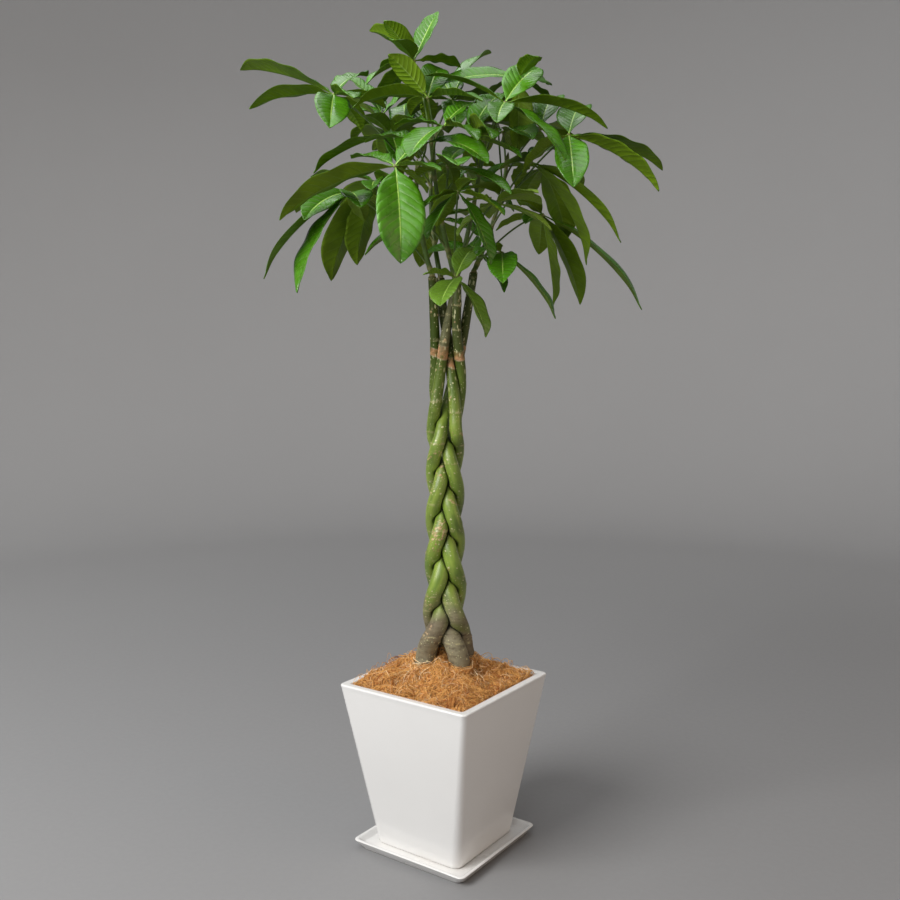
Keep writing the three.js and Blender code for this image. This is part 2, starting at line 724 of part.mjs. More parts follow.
// A leaflet's place at one attempt: as read at first, then swung, rolled and shortened more and more.
function leafletPlace(leaf, index, attempt) {
  const tip = LEAVES[leaf].tips[index];
  const stray = (n) => (draw(leaf * 16 + index, attempt, n) - 0.5) * 2 * Math.min(attempt / 80, 2);
  const reach = vector(tip);
  const length = reach.length();
  reach.x += stray(1) * 0.16 * length;
  reach.y += stray(2) * 0.55 * length;
  reach.z += stray(3) * 0.2 * length;
  reach.setLength(length * (1 - 0.25 * Math.min(attempt / TRIES, 1)));
  return {
    reach,
    width: tip[3] ?? LEAFLET_WIDTH,
    arch: LEAFLET_ARCH + 0.08 * (draw(leaf, index, 31) - 0.5) + 0.08 * stray(4),
    roll: (draw(leaf, index, 33) - 0.5) * 0.5 + stray(5) * 0.5,
  };
}

function octahedron(centre, radius) {
  const ways = [[1, 0, 0], [0, 1, 0], [-1, 0, 0], [0, -1, 0]].map(vector);
  const ring = ways.map((way) => centre.clone().addScaledVector(way, radius));
  const point = (z) => centre.clone().setZ(centre.z + z);
  const positions = [...ring, point(radius), point(-radius)].flatMap((p) => [p.x, p.y, p.z]);
  const faces = [0, 1, 4, 1, 2, 4, 2, 3, 4, 3, 0, 4, 1, 0, 5, 2, 1, 5, 3, 2, 5, 0, 3, 5];
  const geometry = new THREE.BufferGeometry();
  geometry.setAttribute("position", new THREE.Float32BufferAttribute(positions, 3));
  geometry.setIndex(faces);
  return geometry;
}

// Settles where every leaf stalk and leaflet goes, one after the other, each clear of those before it.
function placeCrown() {
  STEMS.forEach((stem, i) => {
    const loose = stem.loose.map(vector);
    take(linePoints(loose, along(STEM_RADII, 1100), () => "stem"), "stem");
    take(linePoints(shootPoints(i), SHOOT_RADIUS_LOW, () => "shoot" + i), "shoot" + i);
  });
  const placed = LEAVES.map((leaf, i) => {
    const hub = vector(leaf.hub);
    const owner = "leaf" + i;
    for (let attempt = 0; attempt < TRIES; attempt++) {
      const path = petiolePath(leaf, hub, attempt);
      const points = linePoints(path, PETIOLE_RADIUS, (done, length) =>
        done < ROOT_LENGTH ? "shoot" + leaf.shoot : length - done < 14 ? owner : null,
      );
      if (clear(points, owner)) {
        take(points, owner);
        return { hub, path, shoot: leaf.shoot, leaflets: [] };
      }
    }
    throw new Error("no clear way for the stalk of leaf " + (i + 1));
  });
  LEAVES.forEach((leaf, i) => {
    leaf.tips.forEach((_, index) => {
      for (let attempt = 0; attempt < TRIES; attempt++) {
        const rings = leafletRings(placed[i].hub, leafletPlace(i, index, attempt));
        const points = leafletPoints(rings, "leaf" + i);
        if (clear(points, "leaf" + i)) {
          take(points, "leaf" + i);
          placed[i].leaflets.push(rings);
          return;
        }
      }
      throw new Error("no clear place for leaflet " + (index + 1) + " of leaf " + (i + 1));
    });
  });
  return placed;
}

// A leaf: its stalk, hub and leaflets in one, with the root of the stalk seated on the shoot.
function leafGeometry(placed) {
  const petiole = solidOf(tube(placed.path, () => PETIOLE_RADIUS, PETIOLE_SIDES));
  let leaf = petiole.add(solidOf(octahedron(placed.hub, HUB_RADIUS)));
  for (const rings of placed.leaflets) leaf = leaf.add(solidOf(skin(rings)));
  return geometryOf(leaf.subtract(shootTube(placed.shoot, SHOOT_SEAT)));
}

const ceramic = material(0xece8e1, 0.18);
const soilLook = material(0x3b2a1d, 0.95);
const fibreLook = material(0xa8703c, 0.9);
const barkLook = material(0x8a8a4a, 0.7);
const shootLook = material(0x7da238, 0.55);
const leafLook = material(0x3f7a2a, 0.4);

const group = new THREE.Group();
const holes = stemHoles();
group.add(named("saucer", saucerGeometry(), ceramic));
group.add(named("pot", potGeometry(), ceramic));
group.add(named("soil", soilGeometry(holes), soilLook));
group.add(named("mulch", mulchGeometry(holes), fibreLook));

const tree = new THREE.Group();
tree.rotation.z = TREE_TURN;
STEMS.forEach((_, i) => {
  tree.add(named("stem_" + (i + 1), stemGeometry(i), barkLook));
  tree.add(named("shoot_" + (i + 1), shootGeometry(i), shootLook));
});
placeCrown().forEach((placed, i) => {
  tree.add(named("leaf_" + String(i + 1).padStart(2, "0"), leafGeometry(placed), leafLook));
});
group.add(tree);

export default group;
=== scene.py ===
# Looks of a potted money tree, laid out as a Blender add-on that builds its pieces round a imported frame.
# Lengths are in millimetres in the pot's axes until a mesh is made. The tree has axes of its own: x along
# the broad side of the plait, y away from the camera, z up. TREE_TURN is their turn against the pot's.
import math

import bpy
import numpy as np
from bpy.props import FloatProperty, FloatVectorProperty, IntProperty, PointerProperty
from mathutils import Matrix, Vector, kdtree, noise


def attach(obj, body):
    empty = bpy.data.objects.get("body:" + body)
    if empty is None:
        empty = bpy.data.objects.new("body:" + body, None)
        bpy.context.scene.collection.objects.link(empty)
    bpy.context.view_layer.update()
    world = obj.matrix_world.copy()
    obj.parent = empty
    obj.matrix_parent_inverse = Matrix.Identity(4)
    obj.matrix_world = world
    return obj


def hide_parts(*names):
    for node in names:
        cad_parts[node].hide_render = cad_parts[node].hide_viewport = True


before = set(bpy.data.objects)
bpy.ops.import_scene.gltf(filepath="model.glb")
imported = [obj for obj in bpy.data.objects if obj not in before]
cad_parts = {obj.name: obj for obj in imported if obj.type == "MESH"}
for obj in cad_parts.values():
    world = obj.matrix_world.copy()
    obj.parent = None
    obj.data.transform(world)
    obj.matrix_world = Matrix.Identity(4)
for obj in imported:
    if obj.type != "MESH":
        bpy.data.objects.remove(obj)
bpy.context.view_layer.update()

bl_info = {
    "name": "Potted Money Tree",
    "version": (1, 0, 0),
    "blender": (4, 5, 0),
    "location": "3D View > Sidebar > Money Tree",
    "description": "Builds a plaited money tree in a square glazed pot, with its stage, light and camera",
    "category": "Object",
}

MM = 0.001
GAP = 0.3
FULL_TURN = 2 * math.pi
QUARTER_TURN = math.pi / 2
ANY_ANGLE = 6.3  # upper end of a random angle

# Saucer and pot, the same sizes as the frame's solids
SAUCER_HALF = 135
SAUCER_FOOT_HALF = 123
SAUCER_HEIGHT = 20
SAUCER_FLOOR = 10
SAUCER_WALL = 7.5
POT_BASE_Z = SAUCER_FLOOR + GAP
POT_TOP_Z = 345
POT_BASE_HALF = 101
POT_TOP_HALF = 153
POT_WALL = 17
POT_FLOOR = 14
POT_BASE_CORNER = 17
POT_TOP_CORNER = 11
DRAIN_RADIUS = 11
DUST_HEIGHT = 30  # how far up from the floor the glaze is dusty

# Soil and fibre mat
SOIL_TOP_Z = 316
MULCH_EDGE_Z = 337
MULCH_MOUND = 42
MULCH_CORNER = 6
MULCH_SIDE_POINTS = 14
MULCH_RINGS = 30
MULCH_SINK = 2.5  # how far the matted body lies under the heights of the mat
MULCH_FAR_RISE = 7
MULCH_NEAR_DROP = 10
MULCH_HEAPS = [  # height, place across and in depth, and spread across and in depth, in the tree's axes
    [20, 0, 34, 62, 34],  # behind the trunk
    [16, -10, -22, 17, 24],  # between its front feet
]
MULCH_COLLAR = [9, 50, 24]  # height, radius and spread of the ring heaped up round the trunk

# Loose strands of the fibre
STRAND_SIDES = 3
LOCK_STRANDS = 16  # strands that lie together
LOCK_LENGTHS = [30, 80]
OWN_LENGTHS = [6, 24]  # how far a strand wanders from its lock
STRAY_SHARE = 0.35  # share of the strands that lie in no lock
STRAY_STRETCH = 2.6
TONES = [0.88, 0.34]  # mean and spread of the strands' tones
# pale strands scattered over the mat: dry fibres, and also painted glints among the orange ones
DRY_AND_GLINT_SHARE = 0.12
DRY_AND_GLINT_PALENESS = 0.55
RIM_WISPS = 800
RIM_LENGTHS = [18, 50]
RIM_SHARES = [0.06, 0.47, 0.47, 0.0]  # share of the wisps along each wall
DRY_STRANDS = 60
DRY_LENGTHS = [25, 60]
DRY_REACH = [44, 72]  # how far from the middle of the trunk they start

# Trunk. The stems stand upright in the soil, come together into the plait, and are loose above it
TREE_TURN = math.radians(35.6)
STEM_COUNT = 5
STEM_ROOT_Z = 245
STRAIGHT_TO_Z = 376
PLAIT_FROM_Z = 480
PLAIT_TOP_Z = 820
LOOSE_FROM_Z = 885
PLAIT_PERIOD = 465  # height in which a stem crosses the plait and comes back
PLAIT_PHASE = math.radians(102)
PLAIT_PHASE_Z = 946
PLAIT_DEPTH = 30
PLAIT_THIRD = 0.11  # straightens the crossings and sharpens the turns at the sides
PLAIT_ORDER = [1, 2, 4, 3, 0]
BEND_EASE = 12
CREASE_WIDTH = 2.2  # how far from its crease with the next stem a stem's skin starts to turn in
CUT_RISES = [-2.2, -1.0, -0.3, 0.0, 0.0, 0.1]  # heights of a stem's last rings, from its cut top
CUT_SHARES = [0.985, 0.95, 0.88, 0.8, 0.45, 0.08]  # and how far each is drawn in
SCARS = 24  # ring scars on each stem
SCAR_GAPS = [38, 120]
KNOTS = 16  # corky knots on each stem
STEM_SEED = 100
STEM_APART = 400  # how far apart the stems lie on their unrolled bark, so that no two are alike
STEM_RADII = [  # height and radius
    [245, 21.5], [390, 21.5], [450, 18.6], [520, 16.6], [700, 14.5], [850, 12.5], [980, 10.4], [1160, 8],
]
PLAIT_HALF_WIDTHS = [[385, 36], [435, 30], [500, 27], [600, 25], [700, 24.5], [980, 26]]

# Stems: the foot, the way of the loose part, the curve of the shoot on top, the height and half width of the
# orange band, and how worn the bark above it is
STEMS = [
    {
        "root": [-24, 25],
        "loose": [
            [-3, 11, 850], [-15, 27, 888], [-21, 12, 930], [-19, 6, 985], [-20, 2, 1040], [-25, -2, 1152],
        ],
        "shoot": [[-25, -2, 1152], [-42, -20, 1205], [-57, -56, 1272], [-52, -78, 1345]],
        "band": [1006, 11],
        "worn": 0.0,
    },
    {
        "root": [-39, -14],
        "loose": [
            [-25, 8, 850], [-21, -16, 890], [-14, -14, 930], [-1, -15, 1030], [15, 6, 1102], [21, 10, 1142],
        ],
        "shoot": [[21, 10, 1142], [6, -18, 1195], [-18, -70, 1285], [-26, -92, 1392]],
        "band": [1006, 16],
        "worn": 0.5,
    },
    {
        "root": [44, 4],
        "loose": [
            [15, 30, 850], [25, 12, 890], [31, 0, 930], [31, -6, 970], [22, -13, 1050], [24, -10, 1150],
        ],
        "shoot": [[24, -10, 1150], [40, -26, 1215], [62, -42, 1300], [72, -42, 1395]],
        "band": [1000, 12],
        "worn": 0.15,
    },
    {
        "root": [15, 30],
        "loose": [
            [-8, -23, 850], [2, 8, 893], [14, 26, 940], [26, 20, 985], [36, 14, 1035], [57, 18, 1162],
        ],
        "shoot": [[57, 18, 1162], [76, 40, 1210], [112, 64, 1285], [124, 56, 1385]],
        "band": [1010, 8],
        "worn": 0.1,
    },
    {
        "root": [28, -29],
        "loose": [
            [23, -25, 850], [17, -17, 930], [10, -3, 980], [9, 6, 1010], [-4, 22, 1080], [-9, 26, 1152],
        ],
        "shoot": [[-9, 26, 1152], [-24, 52, 1230], [-40, 66, 1320], [-18, 62, 1440]],
        "band": [985, 14],
        "worn": 0.2,
    },
]

# Shoots and leaf stalks
SHOOT_RADIUS_LOW = 5.2
SHOOT_RADIUS_TOP = 3.2
SHOOT_SPANS = 5  # straight spans of a shoot in the frame, where the stalks start
SHOOT_SIDES = 14
SHOOT_FOOT_RISES = [0.0, 1.2, 3.5]
SHOOT_FOOT_GROWS = [1.13, 1.12, 1.05]
BUD_LENGTH = 17
BUD_RUNS = [0.12, 0.3, 0.55, 0.8, 0.96]  # places of the bud's rings along it
BUD_GROWS = [1.15, 1.2, 0.9, 0.5, 0.12]  # and how thick each is against the shoot's top
STALK_SIDES = 9
PETIOLE_RADIUS = 1.9
PETIOLE_SIDES = 5
PETIOLE_ARCH = 0.16
HUB_RADIUS = 4.2

# Leaves, as in the frame: the shoot, the hub, and for each leaflet the way to its tip and perhaps its
# width. A leaf that is still growing says how young it is
LEAVES = [
    {
        "shoot": 1,
        "hub": [-59, -20, 1554],
        "tips": [[-53, -50, 58, 0.5], [-33, -90, 12, 0.5], [-86, 70, 68], [90, 60, 8], [20, 110, 40]],
    },
    {
        "shoot": 1,
        "hub": [-32, -70, 1473],
        "tips": [[-135, -60, -30, 0.35], [100, -80, -24], [22, 90, 84, 0.45], [-68, 90, 8]],
    },
    {
        "shoot": 0,
        "hub": [-208, -50, 1484],
        "tips": [[-158, -10, -26], [-190, 80, 72], [6, -120, -86, 0.45], [54, 100, 65], [53, -100, -56]],
    },
    {
        "shoot": 4,
        "hub": [-107, 40, 1431],
        "tips": [[-97, 90, 88], [-159, 30, -66, 0.37], [-17, 110, -36], [-48, 140, 54], [20, -80, -70]],
    },
    {
        "shoot": 4,
        "hub": [-82, 108, 1442],
        "tips": [[66, 80, 87], [76, 110, 25], [29, 110, -13], [-20, 150, 70], [-100, 60, 20]],
    },
    {
        "shoot": 4,
        "hub": [14, 60, 1503],
        "tips": [[-57, 80, -13], [7, -100, -74], [76, 100, 14], [-25, 150, 80], [52, 140, 65]],
    },
    {
        "shoot": 2,
        "hub": [112, -60, 1467],
        "tips": [
            [-151, 20, 50, 0.33], [-20, -100, -58], [196, 10, -41, 0.31], [104, -90, -115, 0.33],
            [58, 140, 57],
        ],
    },
    {
        "shoot": 2,
        "hub": [142, 0, 1529],
        "tips": [[-165, 20, 36, 0.31], [125, 30, -5], [76, 140, 27], [-54, 120, 24], [7, -130, -73, 0.45]],
    },
    {
        "shoot": 3,
        "hub": [234, -40, 1413],
        "tips": [
            [172, -20, -105, 0.4], [199, 80, -46, 0.35], [38, 130, 86], [-2, -100, -112, 0.42],
            [-75, -100, -52],
        ],
    },
    {
        "shoot": 3,
        "hub": [193, 80, 1452],
        "tips": [[-128, 10, 18], [-29, 120, 67], [46, 130, 65], [65, 120, 23], [100, 40, -50]],
    },
    {
        "shoot": 1,
        "hub": [-87, -190, 1326],
        "tips": [
            [12, -50, -172, 0.48], [-204, -10, -91, 0.35], [-84, 80, 32], [54, 80, 44], [81, -60, -18],
        ],
    },
    {
        "shoot": 0,
        "hub": [-179, -60, 1302],
        "tips": [
            [-163, -30, -160, 0.33], [-98, -50, -188, 0.33], [-119, 110, -17], [32, -130, -44],
            [-60, -110, -70],
        ],
    },
    {
        "shoot": 4,
        "hub": [-137, 50, 1342],
        "tips": [[-47, 60, -157, 0.41], [-108, 50, -203, 0.39], [-76, 130, -46], [-140, 40, 30]],
    },
    {
        "shoot": 4,
        "hub": [-14, 90, 1274],
        "tips": [[35, 100, -71, 0.42], [-30, 90, -77], [-140, 50, -91], [60, 130, 30]],
    },
    {
        "shoot": 1,
        "hub": [23, -150, 1289],
        "tips": [[60, -40, -131, 0.39], [-70, -60, -46], [-37, -110, -63], [80, 90, 15]],
    },
    {
        "shoot": 1,
        "hub": [5, -120, 1340],
        "tips": [[112, -70, -60, 0.4], [35, 100, 53], [36, -140, -42]],
    },
    {
        "shoot": 0,
        "hub": [-35, -135, 1377],
        "tips": [[-33, -110, -104, 0.44], [58, -120, -56], [-100, 90, 21]],
    },
    {
        "shoot": 2,
        "hub": [91, -90, 1279],
        "tips": [[104, -40, -53, 0.39], [-36, -90, -49], [-46, -60, -24]],
        "young": 0.8,
    },
    {
        "shoot": 3,
        "hub": [165, -20, 1367],
        "tips": [
            [170, -50, -155, 0.39], [137, 110, -152, 0.39], [-52, -130, -48, 0.45], [66, 110, 46],
        ],
    },
    {
        "shoot": 3,
        "hub": [198, 100, 1379],
        "tips": [[64, 90, -132, 0.42], [-35, 120, -55], [96, 130, -22]],
    },
    {
        "shoot": 3,
        "hub": [205, 150, 1292],
        "tips": [[94, 70, -181, 0.33], [205, 20, -209, 0.25], [74, 120, -147], [7, 110, -84]],
    },
    {
        "shoot": 2,
        "hub": [109, -40, 1193],
        "tips": [[104, -20, -124, 0.37], [-5, -120, -64], [-58, -90, -26]],
    },
    {
        "shoot": 1,
        "hub": [20, -110, 1140],
        "tips": [[-29, -100, -55, 0.5], [56, -40, -109, 0.39], [-60, -30, 5, 0.5], [24, 100, 43]],
        "young": 0.4,
    },
    {
        "shoot": 2,
        "hub": [68, 10, 1200],
        "tips": [[48, -40, -80, 0.4], [-90, -70, -25, 0.45], [-25, 110, 22]],
    },
    {
        "shoot": 3,
        "hub": [114, 30, 1434],
        "tips": [[64, -110, -72], [-70, 100, 31], [32, 120, -9]],
    },
    {
        "shoot": 3,
        "hub": [110, 150, 1480],
        "tips": [[-100, 60, 40], [30, 130, 30], [110, 70, -30], [-40, 120, -60], [60, -60, 80]],
    },
    {
        "shoot": 4,
        "hub": [-130, 130, 1490],
        "tips": [[-120, 60, 30], [-60, 120, 30], [40, 130, 10], [-90, -60, 60], [70, 40, 70]],
    },
    {
        "shoot": 1,
        "hub": [-2, -128, 1408],
        "tips": [[-60, -90, -70, 0.5], [70, -70, -60, 0.45], [-90, 20, 10], [60, 60, 60]],
    },
    {
        "shoot": 4,
        "hub": [40, 160, 1390],
        "tips": [[-60, 110, -90], [40, 120, -60], [110, 60, -70], [-110, 70, -30]],
    },
    {
        "shoot": 2,
        "hub": [50, -60, 1403],
        "tips": [[96, -50, -64], [18, -130, -80, 0.42], [59, 120, 46]],
    },
]
LEAFLET_WIDTH = 0.42
LEAFLET_THICKNESS = 0.8
LEAFLET_ARCH = 0.13
LEAFLET_FOLD = math.radians(15)
LEAFLET_STALK = 9
VEINS = [10.5, 3.5]  # side veins along a leaflet, and how many more it may have
VEIN_START = 40.5  # count of side veins at the hub, high enough to stay above 0
WAVES = [2.2, 2.3]  # waves along its edge, and how many more it may have
TRIES = 500
LEAFLET_OUTLINE = [
    [0, 0], [0.1, 0.36], [0.2, 0.68], [0.3, 0.87], [0.45, 0.98], [0.6, 1], [0.75, 0.89], [0.85, 0.68],
    [0.93, 0.4], [0.975, 0.16], [1, 0],
]
SPARES = 3  # most small leaflets that a leaf gets beside those of the frame
SPARE_TRIES = 90
SPARES_FROM_Z = 1230  # lower leaves have none
SPARE_LENGTHS = [75, 125]
SPARE_ANGLE = math.radians(27)  # least angle between a small leaflet and its neighbours
SPARE_ROOM = 10
CROWN_CORE = 215  # how far to the sides the small leaflets reach
HUB_ROOM = 26
MATCH = 0.1  # how near a leaflet's tip in the frame has to be to a place worked out here

# Camera, in the tree's axes, as fitted to the pot's corners in the photograph
CAMERA_PLACE = (0, -1920, 991)
CAMERA_PITCH = math.radians(5.36)
CAMERA_PAN = math.radians(0.29)
FOCAL_PIXELS = 969
FRAME_PIXELS = 900
SENSOR_WIDTH = 36

# Stage, in metres: each light's place, aim, side and colour in the tree's axes. Its power is in the sidebar
LIGHTS = {
    "key": [(-2.3, -1.7, 2.7), (0, 0, 0.85), 2.0, (1.0, 0.985, 0.96)],
    "fill": [(3.1, -1.6, 1.5), (0, 0, 0.4), 2.2, (1.0, 0.68, 0.42)],
    "front": [(-1.0, -3.0, 2.5), (0, 0, 1.0), 1.6, (1.0, 1.0, 1.0)],
    "top": [(-0.4, 0.3, 3.6), (0, 0, 1.0), 2.6, (0.98, 0.99, 1.0)],
}
FLOOR_SIDES = 96
FLOOR_CURVE = 1.6  # radius of the bend from the floor to the wall

# Tones that no colour in the sidebar sets
DUST = (0.62, 0.57, 0.5, 1.0)
IRON_SPECK = (0.35, 0.28, 0.2, 1.0)
SOIL_DARK = (0.018, 0.011, 0.007, 1.0)
SOIL_BROWN = (0.06, 0.036, 0.02, 1.0)
SOIL_CRUMB = (0.1, 0.065, 0.035, 1.0)
GRIT = (0.4, 0.36, 0.3, 1.0)
BARK_GREY = (0.27, 0.245, 0.15, 1.0)
BARK_SPECK = (0.62, 0.6, 0.34, 1.0)
# painted shade: near black for the creases between the stems
CREASE_SHADE = (0.004, 0.006, 0.002, 1.0)
CORK_BROWN = (0.34, 0.18, 0.075, 1.0)
CORK_TAN = (0.75, 0.56, 0.33, 1.0)
RING_SCAR = (0.47, 0.42, 0.22, 1.0)
BAND_EDGE = (0.72, 0.56, 0.4, 1.0)
STALK_JOINT = (0.22, 0.22, 0.07, 1.0)
STALK_SPECK = (0.55, 0.55, 0.3, 1.0)
FLOOR_MOTTLE = (0.2, 0.2, 0.2, 1.0)
SKY = (0.86, 0.87, 0.88, 1.0)


class Parts:
    """Surfaces gathered into one mesh, with values on their points and a material slot for each face."""

    def __init__(self):
        self.points = []
        self.faces = []
        self.slots = []
        self.values = []
        self.count = 0

    def add(self, surface, slot=0, **values):
        """Adds a surface, with values for its points, each one number or one for every point."""
        points, faces = surface
        points = np.asarray(points, dtype=float).reshape(-1, 3)
        self.points.append(points)
        self.faces.extend([corner + self.count for corner in face] for face in faces)
        self.slots.extend([slot] * len(faces))
        self.values.append({key: np.broadcast_to(v, len(points)) for key, v in values.items()})
        self.count += len(points)

    def build(self, name, materials, turn=0.0):
        """Makes the gathered surfaces into an object in the scene, turned about the upright axis."""
        mesh = bpy.data.meshes.new(name)
        points = turned(np.concatenate(self.points), turn) * MM
        mesh.from_pydata(points.tolist(), [], self.faces)
        if mesh.validate():
            raise RuntimeError(f"the mesh of {name} had faces that Blender can't use")
        mesh.polygons.foreach_set("material_index", self.slots)
        for key in sorted({key for values in self.values for key in values}):
            parts = zip(self.points, self.values)
            column = np.concatenate([v.get(key, np.zeros(len(p))) for p, v in parts])
            layer = mesh.attributes.new(key, "FLOAT", "POINT")
            layer.data.foreach_set("value", column.astype(np.float32))
        mesh.shade_smooth()
        for material in materials:
            mesh.materials.append(material)
        piece = bpy.data.objects.new(name, mesh)
        bpy.context.scene.collection.objects.link(piece)
        return piece


def turned(points, angle):
    """Points turned about the upright axis."""
    c, s = math.cos(angle), math.sin(angle)
    x, y = points[..., 0], points[..., 1]
    return np.stack([c * x - s * y, s * x + c * y, points[..., 2]], axis=-1)


def unit(vectors):
    """Vectors brought to length 1."""
    vectors = np.asarray(vectors, dtype=float)
    return vectors / np.maximum(np.linalg.norm(vectors, axis=-1, keepdims=True), 1e-9)


def all_round(sides):
    """Angles spread evenly over a full turn."""
    return FULL_TURN * np.arange(sides) / sides


def circle(sides):
    """Points of a level circle with a radius of 1."""
    angles = all_round(sides)
    return np.stack([np.cos(angles), np.sin(angles), np.zeros(sides)], axis=-1)


def smooth(value, low, high):
    """0 below low, 1 above high and an even curve between them."""
    share = np.clip((np.asarray(value, dtype=float) - low) / (high - low), 0, 1)
    return share * share * (3 - 2 * share)


def read_off(pairs, at):
    """A value read off a list of [position, value] pairs."""
    table = np.array(pairs, dtype=float)
    return np.interp(at, table[:, 0], table[:, 1])


def draw(a, b, c):
    """The repeatable draw from 0 to 1 that also placed the leaves of the frame. c tells draws apart."""
    low = 0xFFFFFFFF
    h = (((a + 11) * 374761393) ^ ((b + 7) * 668265263) ^ ((c + 3) * 1274126177)) & low
    h = ((h ^ (h >> 13)) * 1103515245) & low
    h = ((h ^ (h >> 16)) * 2246822519) & low
    return (h ^ (h >> 15)) / 4294967296


def clouds(points, size, seed=0):
    """Smooth noise from -1 to 1 at each point, with features of about the given size."""
    flat = np.asarray(points, dtype=float).reshape(-1, 3) / size
    values = [noise.noise(Vector((x + 17.3 * seed, y - 9.1 * seed, z + 4.7 * seed))) for x, y, z in flat]
    return np.array(values).reshape(np.asarray(points).shape[:-1])


def skin(rings, looped=False, capped=True):
    """Joins rings of equal point count into one surface. They run anticlockwise, seen from the last."""
    rings = np.asarray(rings, dtype=float)
    count, n = rings.shape[:2]
    spans = count if looped else count - 1
    low = np.arange(spans)[:, None] * n
    high = (np.arange(spans)[:, None] + 1) % count * n
    k = np.arange(n)[None, :]
    after = (k + 1) % n
    quads = np.stack([low + k, low + after, high + after, high + k], axis=-1)
    faces = quads.reshape(-1, 4).tolist()
    if capped and not looped:
        faces.append(list(range(n - 1, -1, -1)))
        faces.append(list(range((count - 1) * n, count * n)))
    return rings.reshape(-1, 3), faces


def tube_rings(path, radii, sides):
    """Rings round a path, each square to it, with the least twist from one to the next."""
    path = np.asarray(path, dtype=float)
    before = path[np.maximum(np.arange(len(path)) - 1, 0)]
    after = path[np.minimum(np.arange(len(path)) + 1, len(path) - 1)]
    tangents = unit(after - before)
    side = np.array([1.0, 0, 0])
    angles = all_round(sides)
    rings = []
    for centre, tangent, radius in zip(path, tangents, radii):
        side = unit(side - side.dot(tangent) * tangent)
        across = np.cross(tangent, side)
        spokes = np.outer(np.cos(angles), side) + np.outer(np.sin(angles), across)
        rings.append(centre + radius * spokes)
    return np.array(rings)


def strands(paths, radii):
    """Thin tubes along many paths at once, none of them upright. paths is (strand, point, xyz)."""
    sides = STRAND_SIDES
    tangents = unit(np.gradient(paths, axis=1))
    side = unit(np.cross(tangents, [0.0, 0.0, 1.0]) + 1e-6)
    above = np.cross(side, tangents)
    angles = all_round(sides)
    spokes = np.cos(angles)[:, None] * side[..., None, :] + np.sin(angles)[:, None] * above[..., None, :]
    points = paths[:, :, None, :] + radii[:, :, None, None] * spokes
    count, length = paths.shape[:2]
    start = (np.arange(count) * length * sides)[:, None, None]
    low = start + (np.arange(length - 1) * sides)[None, :, None]
    k = np.arange(sides)[None, None, :]
    after = (k + 1) % sides
    quads = np.stack([low + k, low + sides + k, low + sides + after, low + after], axis=-1)
    first = start[:, 0] + np.arange(sides)
    last = first + (length - 1) * sides
    faces = quads.reshape(-1, 4).tolist() + first.tolist() + last[:, ::-1].tolist()
    return points.reshape(-1, 3), faces


def square_ring(half, corner, z, corner_points=9, side_points=1):
    """A level square ring with round corners, and points along its straight sides."""
    centre = half - corner
    points = []
    for side in range(4):
        angles = (side + np.arange(corner_points) / (corner_points - 1)) * QUARTER_TURN
        signs = turned(np.array([[1.0, 1.0, 0.0]]), side * QUARTER_TURN)[0]
        x = centre * signs[0] + corner * np.cos(angles)
        y = centre * signs[1] + corner * np.sin(angles)
        corner_run = np.stack([x, y, np.full(corner_points, float(z))], axis=-1)
        points.extend(corner_run)
        reach = turned(np.array([[-2.0 * centre, 0.0, 0.0]]), side * QUARTER_TURN)[0]
        for i in range(1, side_points):
            points.append(corner_run[-1] + reach * i / side_points)
    return np.array(points)


